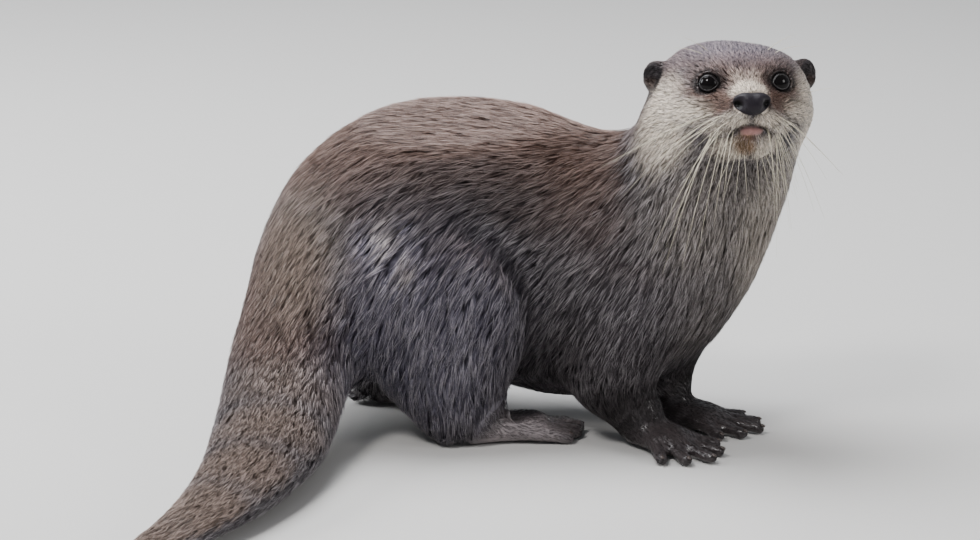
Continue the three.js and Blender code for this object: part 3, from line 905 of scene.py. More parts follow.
@dataclass(frozen=True)
class Stroke:
    """A brush stroke that combs the coat near one place."""

    at: Point
    way: Point
    reach: float
    force: float = 1.0


def strokes_along(places: tuple[Point, ...], reach: float, force: float, sag: float = 0.0) -> list[Stroke]:
    """Returns strokes that follow a line of places, with some downward sag."""
    found = []
    for start, end in zip(places, places[1:]):
        step = (Vector(end) - Vector(start)).normalized() + Vector((0, 0, -sag))
        middle = (Vector(start) + Vector(end)) / 2
        found.append(Stroke(tuple(middle), tuple(step.normalized()), reach, force))
    return found


def all_strokes() -> list[Stroke]:
    """Returns the strokes of the whole body in the pose's coordinates."""
    back = strokes_along(tuple(reversed(SPINE)), 34, 1.0, 0.35)
    tail = strokes_along(TAIL, 22, 1.6)
    legs = [
        Stroke((-34, -70, 96), (-0.75, 0, -1), 20, 2.0),
        Stroke((-16, -70, 74), (-0.25, 0, -1), 24, 2.6),
        Stroke((-60, -66, 80), (-0.5, 0, -1), 24, 2.2),
        Stroke((-30, -66, 46), (-0.12, 0, -1), 24, 2.6),
        Stroke((-64, -60, 40), (-0.35, -0.1, -1), 22, 2.0),
        Stroke((-16, -56, 24), (0.1, 0, -1), 16, 2.6),
        Stroke((-56, 68, 74), (-0.4, 0, -1), 34, 2.4),
        Stroke((-50, 56, 40), (-0.1, 0, -1), 22, 2.4),
        Stroke((-54, 36, 20), (0.1, 0, -1), 16, 2.0),
        Stroke((58, -56, 80), (-0.5, 0, -1), 26, 1.4),
        Stroke((58, -56, 50), (-0.25, 0, -1), 20, 2.4),
        Stroke((66, -52, 28), (0.5, -0.3, -1), 14, 2.4),
        Stroke((102, 10, 70), (0.0, 0, -1), 22, 2.0),
        Stroke((98, 4, 40), (-0.1, -0.2, -1), 16, 2.6),
        Stroke((118, -52, 130), (-0.12, 0.1, -1), 24, 2.2),
        Stroke((112, -48, 100), (-0.3, 0.1, -1), 26, 1.8),
        Stroke((92, -52, 110), (-0.5, 0, -1), 22, 1.6),
        Stroke((134, -20, 110), (-0.2, 0.3, -1), 30, 1.6),
    ]
    feet = [
        Stroke((84, -54, 12), (0.67, -0.74, -0.1), 14, 3.0),
        Stroke((104, -18, 12), (0.93, -0.37, -0.1), 14, 3.0),
        Stroke((10, -42, 12), (0.95, 0.31, -0.1), 16, 3.0),
        Stroke((-36, 28, 12), (1.0, 0.07, -0.1), 16, 3.0),
    ]
    return [*back, *tail, *legs, *feet]


class Comb:
    """Turns strokes, and the face's own pattern, into the lie of the coat."""

    nose: Point = (54, 0, -9)

    def __init__(self) -> None:
        """Gathers the strokes into arrays."""
        strokes = all_strokes()
        self.at = np.array([POSE.point(*s.at) for s in strokes])
        self.way = unit(np.array([s.way for s in strokes], float))
        self.reach = np.array([s.reach * MM for s in strokes])
        self.force = np.array([s.force for s in strokes])

    def lie(self, points: Array, normals: Array) -> Array:
        """Returns the direction in which the coat lies at each point, along the surface.

        Args:
            points: Places on the coat's surface in metres.
            normals: Outward directions there.

        Returns:
            Unit vectors square to the normals.
        """
        total = np.zeros_like(points)
        for at, way, reach, force in zip(self.at, self.way, self.reach, self.force):
            near = force * np.exp(-np.sum((points - at) ** 2, axis=1) / (2 * reach**2))
            total += near[:, None] * way
        total = unit(total)
        local = HEAD.local(points)
        outward = unit(points - np.array(HEAD.point(*self.nose)))
        backward = -np.array(HEAD.heading(1, 0, 0))
        down = np.array(HEAD.heading(-0.35, 0, -1))
        low = smooth_step(-12, -26, local[:, 2])[:, None]
        face = unit(outward * 1.0 + backward * 0.35 + down * 0.5 * low)
        from_head = np.linalg.norm(local - np.array((12, 0, -4)), axis=1)
        share = smooth_step(58, 40, from_head)[:, None]
        lie = total * (1 - share) + face * share
        for sign in SIDES.values():
            past, height, away = EYE.around(points, sign)
            near = 3.0 * np.exp(-((np.maximum(past - 1, 0) / 0.7) ** 2)) * (height > -4)
            lie += away * near[:, None]
        lie = lie - normals * np.sum(lie * normals, axis=1, keepdims=True)
        return unit(lie)


# ---------------------------------------------------------------- skin
@dataclass
class Skin:
    """One closed skin under the coat, made from all the solids of flesh.

    Args:
        voxel: Cell of the grid that fuses the solids.
        swell: How far each solid grows first, so that the thin cuts close.
        rounds: Smoothing rounds on the trunk, where the solids' facets are largest.
        weight_steps: Number of strengths of smoothing.
        spread_rounds: Rounds that even out the bulk to give back.
        head_share: Smoothing on the head, as a share of the trunk's.
        foot_share: The same on the feet.
        most_triangles: Limit for the finished skin.
        rim_height: How high the fur stands along the eye's look where it meets the lids.
        rim_slope: How fast that falls off.
        groove: Depth of the line between the lips.
        hollow: How far the skin lies behind the nose.
        kept_apart: Solids that are no flesh.
        fuller: Places where the body is rounder than the solids, with reach and height.
    """

    voxel: float = 1.2 * MM
    swell: float = 0.3 * MM
    rounds: int = 90
    weight_steps: int = 20
    spread_rounds: int = 160
    head_share: float = 0.15
    foot_share: float = 0.05
    most_triangles: int = 185_000
    rim_height: float = 4.5
    rim_slope: float = 1.8
    groove: float = 2.4
    hollow: float = 4.5
    kept_apart: tuple[str, ...] = ("eye_right", "eye_left")
    fuller: tuple[tuple[Point, float, float], ...] = (
        ((-25, 0, 168), 48, 3.2),
        ((20, 0, 160), 36, 1.6),
        ((142, -30, 120), 34, 2.4),
    )
    outer: Piece | None = field(default=None)
    body: Piece | None = field(default=None)

    def flesh(self) -> list[str]:
        """Returns the names of the solids that the skin stands for."""
        return [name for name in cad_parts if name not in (*self.kept_apart, "nose")]

    def fuse(self) -> None:
        """Joins the solids into one smooth surface, which is where the coat's tips lie."""
        whole = bmesh.new()
        for name in [*self.flesh(), "nose"]:
            one = merged(name)
            one.normal_update()
            for vert, normal in [(v, v.normal.copy()) for v in one.verts]:
                vert.co += normal * self.swell
            mesh = bpy.data.meshes.new("swollen")
            one.to_mesh(mesh)
            one.free()
            whole.from_mesh(mesh)
            bpy.data.meshes.remove(mesh)
        fused = made_object("fused", whole)
        join = fused.modifiers.new("join", "REMESH")
        join.mode, join.voxel_size = "VOXEL", self.voxel
        self.soften(settled(fused, "fused"))

    def soften(self, fused: Piece) -> None:
        """Smooths the fused solids, gives back the bulk that this loses, and shapes eye rims and thighs.

        Args:
            fused: The fused solids, which are used up.
        """
        points = vertex_array(fused.data)
        group = fused.vertex_groups.new(name="soft")
        weights = self.softness(points)
        for step in range(1, self.weight_steps + 1):
            share = step / self.weight_steps
            chosen = np.nonzero(np.abs(weights - share) <= 0.5 / self.weight_steps)[0]
            if len(chosen):
                group.add(chosen.tolist(), share, "REPLACE")
        soften = fused.modifiers.new("soften", "SMOOTH")
        soften.factor, soften.iterations, soften.vertex_group = 0.5, self.rounds, "soft"
        self.outer = settled(fused, "outer")
        shrunk = vertex_array(self.outer.data)
        normals = vertex_array(self.outer.data, "normal")
        lost = self.spread_out(np.sum((points - shrunk) * normals, axis=1))
        points = shrunk + normals * (lost - self.swell)[:, None]
        for sign in SIDES.values():
            past, height, _ = EYE.around(points, sign)
            rim = self.rim_height - self.rim_slope * np.maximum(past - 1.1, 0)
            lift = (rim - height) * smooth_step(0.8, 1.12, past) * smooth_step(2.3, 1.7, past)
            lift = np.where(height > -7, np.maximum(lift, 0), 0)
            points += np.array(EYE.axes(sign)[0]) * (lift * MM)[:, None]
        for fold in FOLDS:
            points -= normals * (fold.depth_at(points) * MM)[:, None]
        for at, reach, amount in self.fuller:
            near = np.sum((POSE.local(points) - np.array(at)) ** 2, axis=1) / reach**2
            points += normals * (amount * np.exp(-near) * MM)[:, None]
        points[:, 2] = np.maximum(points[:, 2], 0.2 * MM)
        move_vertices(self.outer.data, points)
        shade_smooth(self.outer)

    def spread_out(self, values: Array) -> Array:
        """Averages numbers between neighbouring vertices of the outer surface, many times over."""
        mesh = self.outer.data
        ends = np.empty(len(mesh.edges) * 2, int)
        mesh.edges.foreach_get("vertices", ends)
        first, second = ends.reshape(-1, 2).T
        count = len(values)
        links = np.bincount(ends, minlength=count)
        for _ in range(self.spread_rounds):
            total = np.bincount(first, values[second], count) + np.bincount(second, values[first], count)
            values = 0.5 * values + 0.5 * total / np.maximum(links, 1)
        return values

    def softness(self, points: Array) -> Array:
        """Returns how much each vertex is smoothed, less on the head and least on the feet."""
        local = HEAD.local(points)
        head = smooth_step(66, 46, np.linalg.norm(local - np.array((12, 0, -6)), axis=1))
        amount = 1 - head * (1 - self.head_share)
        for sole in Sole:
            away = away_from(points, ((0, 0, 6), (22, 0, 5), (44, 0, 5)), sole.value)
            foot = smooth_step(32, 24, away)
            amount = np.minimum(amount, 1 - foot * (1 - self.foot_share))
        tail = smooth_step(30, 12, away_from(points, TAIL[5:]))
        return np.minimum(amount, 1 - tail * 0.75)

    def sink(self) -> None:
        """Makes the skin itself, inside the coat's tips by the coat's depth."""
        skin = new_object("otter_skin", self.outer.data.copy())
        points, normals = vertex_array(skin.data), vertex_array(skin.data, "normal")
        depth = pelt_at(points)[:, :1] * MM
        groove = self.groove * np.exp(-(MOUTH.away(HEAD.local(points)) ** 2))[:, None] * MM
        under_nose = self.hollow * smooth_step(1.1, 0.8, beyond_nose(points))[:, None] * MM
        points = points - normals * (depth + groove + under_nose)
        points[:, 2] = np.maximum(points[:, 2], 0.1 * MM)
        move_vertices(skin.data, points)
        triangles = sum(len(p.vertices) - 2 for p in skin.data.polygons)
        thin = skin.modifiers.new("thin", "DECIMATE")
        thin.ratio = min(1.0, self.most_triangles / triangles)
        self.body = settled(skin, "otter_skin")
        shade_smooth(self.body)

    def dress(self, material: Material, lids: list[bpy.types.Mesh]) -> None:
        """Adds the lids and the markings, and puts the skin on the body.

        Args:
            material: The skin's finish.
            lids: Meshes that become part of the skin.
        """
        made = bmesh.new()
        made.from_mesh(self.body.data)
        for lid in lids:
            made.from_mesh(lid)
        made.to_mesh(self.body.data)
        made.free()
        mesh = self.body.data
        points, normals = vertex_array(mesh), vertex_array(mesh, "normal")
        for name, values in MARKINGS_AND_PAINTED_LIGHT.at(points, normals).items():
            add_attribute(mesh, name, values)
        add_attribute(mesh, "tip", np.full(len(points), 0.4))
        add_attribute(mesh, "shade", np.full(len(points), 0.5))
        shade_smooth(self.body)
        put_on(self.body, material, "skin", *self.flesh())


@dataclass
class Lids:
    """The rims of the eyelids: rings given by distance past the opening and height above the ball.

    Args:
        around: Vertices in each ring.
        corner_reach: How far the inner corner reaches towards the nose.
        corner_drop: How far it lies lower.
        profile: Each ring's distance and height.
    """

    around: int = 56
    corner_reach: float = 0.8
    corner_drop: float = 0.5
    profile: tuple[tuple[float, float], ...] = (
        (-0.3, -0.3),
        (0.0, 0.05),
        (0.2, 0.18),
        (0.45, 0.1),
        (0.8, -0.3),
        (1.2, -1.2),
    )

    def mesh(self, sign: int) -> bpy.types.Mesh:
        """Returns the lids of one eye."""
        look, side, up = EYE.axes(sign)
        centre = EYE.centre(sign)
        made = bmesh.new()
        loop = bmesh.ops.create_circle(made, segments=self.around, radius=1.0)["verts"]
        edges = list(made.edges)
        rings = [loop]
        for _ in self.profile[1:]:
            grown = bmesh.ops.extrude_edge_only(made, edges=edges)["geom"]
            edges = [g for g in grown if isinstance(g, bmesh.types.BMEdge)]
            fresh = [g for g in grown if isinstance(g, bmesh.types.BMVert)]
            edges = [e for e in edges if e.verts[0] in fresh and e.verts[1] in fresh]
            rings.append(fresh)
        for ring, (past, height) in zip(rings, self.profile):
            for vert in ring:
                angle = math.atan2(vert.co.y, vert.co.x)
                wide = EYE.half_width + past
                tall = EYE.half_height + past
                inner = max(-math.cos(angle), 0.0) ** 6
                x = math.cos(angle) * (wide + inner * self.corner_reach * (past < 1.2))
                y = math.sin(angle) * tall - inner * self.corner_drop
                open_x, open_y = math.cos(angle) * EYE.half_width, math.sin(angle) * EYE.half_height
                ball = math.sqrt(EYE.radius**2 - open_x**2 - open_y**2)
                vert.co = centre + (side * x + up * y + look * (ball + height)) * MM
        bmesh.ops.recalc_face_normals(made, faces=made.faces)
        made.faces.ensure_lookup_table()
        if made.faces[0].normal.dot(look) < 0:
            bmesh.ops.reverse_faces(made, faces=made.faces)
        mesh = bpy.data.meshes.new("lids")
        made.to_mesh(mesh)
        made.free()
        return mesh


@dataclass
class Eyes:
    """Round, wet eyeballs in place of the faceted ones."""

    segments: int = 48
    rings: int = 32

    def build(self, material: Material) -> None:
        """Builds both eyeballs."""
        for side, sign in SIDES.items():
            made = bmesh.new()
            size = {"u_segments": self.segments, "v_segments": self.rings, "radius": EYE.radius * MM}
            bmesh.ops.create_uvsphere(made, **size)
            look = EYE.axes(sign)[0]
            bmesh.ops.rotate(made, verts=made.verts, matrix=look.to_track_quat("Z", "Y").to_matrix())
            bmesh.ops.translate(made, verts=made.verts, vec=EYE.centre(sign))
            eye = made_object(f"eyeball_{side}", made)
            shade_smooth(eye)
            put_on(eye, material, "eye", f"eye_{side}")


@dataclass
class Nose:
    """The nose pad: the solid's own shape, rounded.

    Args:
        voxel: Cell of the grid that evens out the solid.
        rounds: Smoothing rounds.
        nostril: The left nostril's middle on the head.
        pit: Its depth.
        pit_size: Its radius.
    """

    voxel: float = 0.5 * MM
    rounds: int = 8
    nostril: Point = (57.0, 7.2, -9.8)
    pit: float = 4.0
    pit_size: float = 2.3

    def build(self, material: Material) -> None:
        """Builds the nose leather."""
        nose = made_object("nose_start", merged("nose"))
        remesh = nose.modifiers.new("even", "REMESH")
        remesh.mode, remesh.voxel_size = "VOXEL", self.voxel
        soften = nose.modifiers.new("soften", "SMOOTH")
        soften.factor, soften.iterations = 0.5, self.rounds
        nose = settled(nose, "nose_leather")
        points = vertex_array(nose.data)
        local = HEAD.local(points)
        local[:, 1] = np.abs(local[:, 1])
        off = (local - np.array(self.nostril)) * (0.5, 1, 1.25)
        pit = np.exp(-((np.linalg.norm(off, axis=1) / self.pit_size) ** 2))
        backward = np.array(HEAD.heading(-1, 0, 0.1))
        move_vertices(nose.data, points + backward * (pit * self.pit * MM)[:, None])
        # pit: where the nostrils lie, painted black as shade by the nose's finish.
        add_attribute(nose.data, "pit", smooth_step(0.12, 0.6, pit))
        shade_smooth(nose)
        put_on(nose, material, "nose", "nose")


# ---------------------------------------------------------------- coat
@dataclass
class SkinMap:
    """An unwrap of the skin's own shape, on a light copy of it."""

    faces: int = 9000

    def __init__(self, outer: Piece) -> None:
        """Unwraps a light copy of the outer surface."""
        light = new_object("map_start", outer.data.copy())
        thin = light.modifiers.new("thin", "DECIMATE")
        thin.ratio = self.faces / max(len(outer.data.polygons) * 2, 1)
        light = settled(light, "map")
        bpy.context.view_layer.objects.active = light
        light.select_set(True)
        bpy.ops.object.mode_set(mode="EDIT")
        bpy.ops.mesh.select_all(action="SELECT")
        bpy.ops.mesh.quads_convert_to_tris()
        bpy.ops.uv.smart_project(angle_limit=math.radians(66), island_margin=0.004)
        bpy.ops.object.mode_set(mode="OBJECT")
        mesh = light.data
        self.points = vertex_array(mesh)
        corners = np.empty(len(mesh.loops), int)
        mesh.loops.foreach_get("vertex_index", corners)
        self.corners = corners.reshape(-1, 3)
        flat = np.empty(len(mesh.loops) * 2, np.float32)
        mesh.uv_layers.active.data.foreach_get("uv", flat)
        self.map = flat.reshape(-1, 3, 2).astype(float)
        self.tree = BVHTree.FromObject(light, bpy.context.evaluated_depsgraph_get())
        bpy.data.objects.remove(light)

    def at(self, points: Array) -> Array:
        """Returns the place on the map of each point."""
        hits = [self.tree.find_nearest(p) for p in points]
        face = np.array([h[2] for h in hits])
        place = np.array([h[0] for h in hits])
        a, b, c = (self.points[self.corners[face, i]] for i in range(3))
        total = np.linalg.norm(np.cross(b - a, c - a), axis=1) + 1e-18
        first = np.linalg.norm(np.cross(b - place, c - place), axis=1) / total
        second = np.linalg.norm(np.cross(c - place, a - place), axis=1) / total
        third = np.clip(1 - first - second, 0, 1)
        return sum(self.map[face, i] * w[:, None] for i, w in enumerate((first, second, third)))


class Region(Enum):
    """Parts of the coat, each with places near its middle."""

    HEAD = ((118, -70, 168), (122, -30, 178))
    NECK = ((112, -40, 130), (104, -10, 130))
    CHEST = ((90, -40, 90), (84, 20, 90))
    FLANK = ((36, -40, 80), (36, 40, 80))
    BACK = ((-10, -20, 150), (-10, 40, 120))
    HAUNCH_RIGHT = ((-34, -66, 70), (-20, -50, 30))
    HAUNCH_LEFT = ((-56, 66, 74), (-60, 30, 20))
    RUMP = ((-95, -10, 90), (-100, -40, 40))
    TAIL = ((-107, -108, 18), (-122, -170, 12), (-160, -236, 6))
    ARMS = ((60, -50, 36), (96, 4, 36), (84, -54, 8), (110, -18, 8))
    HINDFEET = ((14, -40, 8), (-34, 30, 8))


@dataclass
class Coat:
    """The coat: thin spindle-shaped tufts that lie along the body, drawn together into damp locks.

    Args:
        tufts: How many there are.
        most_in_piece: Limit for one piece.
        seed: Seed of all random draws.
        jitter: Spread of a tuft's turn.
        lock_jitter: Spread of a lock's turn.
        choices: Nearby locks among which a tuft chooses.
        stretch: How much longer than wide a lock is, 0 to 1.
        along_share: How much of a tip's draw goes along the hair.
        patch: Size of a tuft's patch on the map.
        bend: Where along a tuft its widest place is, 0 to 1.
        guard_share: Share of long bright guard hairs.
        stray_share: Share of tufts that stand out.
        stray_rise: How far these stand out, as a share of the coat's depth.
        lock_level: How much of a tip's height its lock sets, 0 to 1.
        mouth_cut: How much shorter hair is beside the lips.
    """

    tufts: int = 244_000
    most_in_piece: int = 33_000
    seed: int = 11
    jitter: float = 6.0
    lock_jitter: float = 8.0
    choices: int = 4
    stretch: float = 0.84
    along_share: float = 0.25
    patch: float = 0.003
    bend: float = 0.5
    guard_share: float = 0.24
    stray_share: float = 0.05
    stray_rise: float = 0.2
    lock_level: float = 0.35
    mouth_cut: float = 0.6

    def __post_init__(self) -> None:
        """Seeds the draws."""
        self.dice = np.random.default_rng(self.seed)
        self.scale = 1.0

    def roots(self, outer: Piece) -> tuple[Array, Array]:
        """Spreads tufts over the outer surface.

        Args:
            outer: The surface on which the coat's tips lie.

        Returns:
            Places and outward directions.
        """
        mesh = outer.data
        mesh.calc_loop_triangles()
        flat = np.empty(len(mesh.loop_triangles) * 3, int)
        mesh.loop_triangles.foreach_get("vertices", flat)
        corners = flat.reshape(-1, 3)
        points, normals = vertex_array(mesh), vertex_array(mesh, "normal")
        a, b, c = (points[corners[:, i]] for i in range(3))
        middle = (a + b + c) / 3
        facing = unit(normals[corners].sum(axis=1))
        area = np.linalg.norm(np.cross(b - a, c - a), axis=1) / 2
        weight = area * pelt_at(middle)[:, 3] * self.growth(middle, facing)
        ends = np.cumsum(weight)
        count = self.tufts
        self.scale = count / (ends[-1] * 1e6)
        at = (np.arange(count) + self.dice.random(count)) / count * ends[-1]
        chosen = np.minimum(np.searchsorted(ends, at), len(ends) - 1)
        first, second = self.dice.random(count), self.dice.random(count)
        flip = first + second > 1
        first, second = np.where(flip, 1 - first, first), np.where(flip, 1 - second, second)
        share = np.stack([1 - first - second, first, second], axis=1)[:, :, None]
        place = (points[corners[chosen]] * share).sum(axis=1)
        normal = unit((normals[corners[chosen]] * share).sum(axis=1))
        return place, normal

    def growth(self, points: Array, normals: Array) -> Array:
        """Returns where hair grows: not on lips, nose, eyes, soles or the ends of the toes."""
        local = HEAD.local(points)
        grows = np.ones(len(points))
        for sign in SIDES.values():
            past, height, _ = EYE.around(points, sign)
            grows[(past < 1.1) & (height > -8)] = 0
        grows[beyond_nose(points) < 1] = 0
        marks = MARKINGS_AND_PAINTED_LIGHT.at(points, normals)
        grows[marks["lip"] > 0.5] = 0
        in_mouth = (np.abs(MOUTH.away(local)) < 0.8) & (np.abs(local[:, 1]) < MOUTH.half_width)
        grows[in_mouth & (local[:, 0] > 36)] = 0
        sole = (normals[:, 2] < -0.5) & (points[:, 2] < 6 * MM)
        grows[sole] = 0
        bare = marks["bare"]
        return grows * (1 - 0.55 * bare) * np.where(points[:, 2] < 3.0 * MM, 0.4, 1)

    def shape(self, skin: Skin) -> dict[str, Array]:
        """Works out every tuft's root, sides, ridge and tip.

        Args:
            skin: The skin, whose outer surface carries the tips.

        Returns:
            Arrays of places by name, with the pelt's numbers and the locks' own shades.
        """
        place, normal = self.roots(skin.outer)
        count = len(place)
        pelt = pelt_at(place)
        depth, length, width = (pelt[:, i] * MM for i in range(3))
        lie = Comb().lie(place, normal)
        lock, off = self.locks(place, lie, pelt)
        side = np.cross(normal, lie)
        turn = self.dice.normal(0, self.lock_jitter, count)[lock] + self.dice.normal(0, self.jitter, count)
        turn = np.radians(turn)[:, None]
        lie = lie * np.cos(turn) + side * np.sin(turn)
        guard = self.dice.random(count) < self.guard_share
        length = length * self.dice.uniform(0.8, 1.2, count) * np.where(guard, 1.12, 1)
        local = HEAD.local(place)
        by_mouth = smooth_step(5.0, 1.0, np.abs(MOUTH.away(local)))
        by_mouth = by_mouth * smooth_step(14, 10, np.abs(local[:, 1]))
        length = length * (1 - self.mouth_cut * by_mouth * (local[:, 0] > 34))
        reach = place + lie * length[:, None]
        tree = BVHTree.FromObject(skin.outer, bpy.context.evaluated_depsgraph_get())
        hits = [tree.find_nearest(p) for p in reach]
        on = np.array([h[0] for h in hits])
        facing = np.array([h[1] for h in hits])
        own = self.dice.random(count)
        height = np.where(guard, 0.75 + 0.25 * own, 0.8 * own)
        level = self.lock_level * self.dice.random(count)[lock] + (1 - self.lock_level) * height
        stray = np.where(self.dice.random(count) < self.stray_share, self.stray_rise, 0)
        rise = pelt[:, 6] + (1 - pelt[:, 6]) * level + stray
        tip = on - facing * (depth * (1 - rise))[:, None]
        pull = pelt[:, 5] * self.dice.uniform(0.7, 1.15, count) * smooth_step(1.6, 0.7, off)
        pull = np.clip(pull, 0, 0.95)[:, None]
        gap = tip[lock] - tip
        along = np.sum(gap * lie, axis=1, keepdims=True) * lie
        tip = tip + pull * (gap - along * (1 - self.along_share))
        own = self.dice.random(count)
        # Guard hairs, which stand on top, get the higher shades: they come out lighter and carry most of the
        # painted highlight; the rest of the spread is random tone.
        shade = 0.25 * self.dice.random(count)[lock] + np.where(guard, 0.5 + 0.25 * own, 0.5 * own)
        root = place - normal * (depth * 1.02)[:, None]
        lift = place - normal * (depth * 0.3)[:, None]
        ridge = lift * (1 - self.bend) + tip * self.bend
        ridge = ridge - normal * (depth * 0.06)[:, None]
        way = unit(tip - root)
        across = unit(np.cross(normal, way))
        half = (width * self.dice.uniform(0.8, 1.25, count) * np.where(guard, 0.8, 1.05) / 2)[:, None]
        return {
            "root": root,
            "left": ridge + across * half,
            "right": ridge - across * half,
            "top": ridge + normal * half * 0.8,
            "tip": tip,
            "place": place,
            "normal": normal,
            "shade": shade,
        }

    def locks(self, place: Array, lie: Array, pelt: Array) -> tuple[Array, Array]:
        """Finds the tuft in the middle of each tuft's lock.

        Args:
            place: Where the tufts grow.
            lie: The directions in which they lie.
            pelt: Their pelts' numbers.

        Returns:
            The number of that tuft, and how far it is as a share of a lock's width.
        """
        chance = 1.0 / np.maximum(pelt[:, 3] * self.scale * pelt[:, 4] ** 2, 1)
        middle = np.nonzero(self.dice.random(len(place)) < chance)[0]
        tree = KDTree(len(middle))
        for number, index in enumerate(middle):
            tree.insert(place[index], number)
        tree.balance()
        near = np.array([[hit[1] for hit in tree.find_n(p, self.choices)] for p in place])
        near = middle[near]
        gap = place[near] - place[:, None]
        along = np.sum(gap * lie[:, None], axis=2)
        away = np.sqrt(np.maximum(np.sum(gap**2, axis=2) - along**2 * self.stretch, 0))
        best = np.argmin(away, axis=1)
        rows = np.arange(len(place))
        return near[rows, best], away[rows, best] / (pelt[:, 4] * MM)

    def build(self, skin: Skin, material: Material) -> None:
        """Builds the coat's pieces.

        Args:
            skin: The skin that carries it.
            material: Its finish.
        """
        self.form = self.shape(skin)
        places = self.form["place"]
        self.marks = MARKINGS_AND_PAINTED_LIGHT.at(places, self.form["normal"])
        self.spots = SkinMap(skin.outer).at(places)
        away = [away_from(places, region.value) for region in Region]
        nearest = np.argmin(away, axis=0)
        for number, region in enumerate(Region):
            members = np.nonzero(nearest == number)[0]
            parts = max(1, math.ceil(len(members) / self.most_in_piece))
            for part, chosen in enumerate(np.array_split(members, parts)):
                coat = self.piece(f"coat_{region.name.lower()}_{part + 1}", chosen)
                put_on(coat, material, "coat")

    def piece(self, name: str, chosen: Array) -> Piece:
        """Joins some tufts into one mesh.

        Args:
            name: The piece's name.
            chosen: Which tufts.

        Returns:
            The piece.
        """
        count = len(chosen)
        corners = ("root", "left", "right", "top", "tip")
        places = np.stack([self.form[c][chosen] for c in corners], axis=1).reshape(-1, 3)
        places[:, 2] = np.maximum(places[:, 2], 0.15 * MM)
        faces = np.array(((0, 3, 1), (0, 2, 3), (0, 1, 2), (4, 1, 3), (4, 3, 2), (4, 2, 1)))
        index = (np.arange(count)[:, None, None] * 5 + faces[None]).reshape(-1)
        mesh = bpy.data.meshes.new(name)
        mesh.vertices.add(count * 5)
        mesh.vertices.foreach_set("co", places.astype(np.float32).ravel())
        mesh.loops.add(len(index))
        mesh.loops.foreach_set("vertex_index", index.astype(np.int32))
        mesh.polygons.add(len(index) // 3)
        mesh.polygons.foreach_set("loop_start", np.arange(0, len(index), 3, dtype=np.int32))
        mesh.polygons.foreach_set("use_smooth", np.ones(len(index) // 3, bool))
        mesh.update(calc_edges=True)
        for mark, values in self.marks.items():
            add_attribute(mesh, mark, np.repeat(values[chosen], 5))
        add_attribute(mesh, "tip", np.tile([0.0, 0.5, 0.5, 0.6, 1.0], count))
        add_attribute(mesh, "shade", np.repeat(self.form["shade"][chosen], 5))
        spot = np.array(((0, -0.5), (-0.5, 0), (0.5, 0), (0, 0), (0, 0.5))) * self.patch
        uv = self.spots[chosen][:, None, :] + spot[None]
        layer = mesh.uv_layers.new(name="OFBake")
        layer.data.foreach_set("uv", uv.reshape(-1, 2)[index].astype(np.float32).ravel())
        return new_object(name, mesh)


# ---------------------------------------------------------------- whiskers and nails
@dataclass(frozen=True)
class Bristle:
    """One whisker: root, first direction and length in the head's frame, and how far its end droops."""

    root: Point
    way: Point
    length: float
    droop: float
    thick: float = 0.4


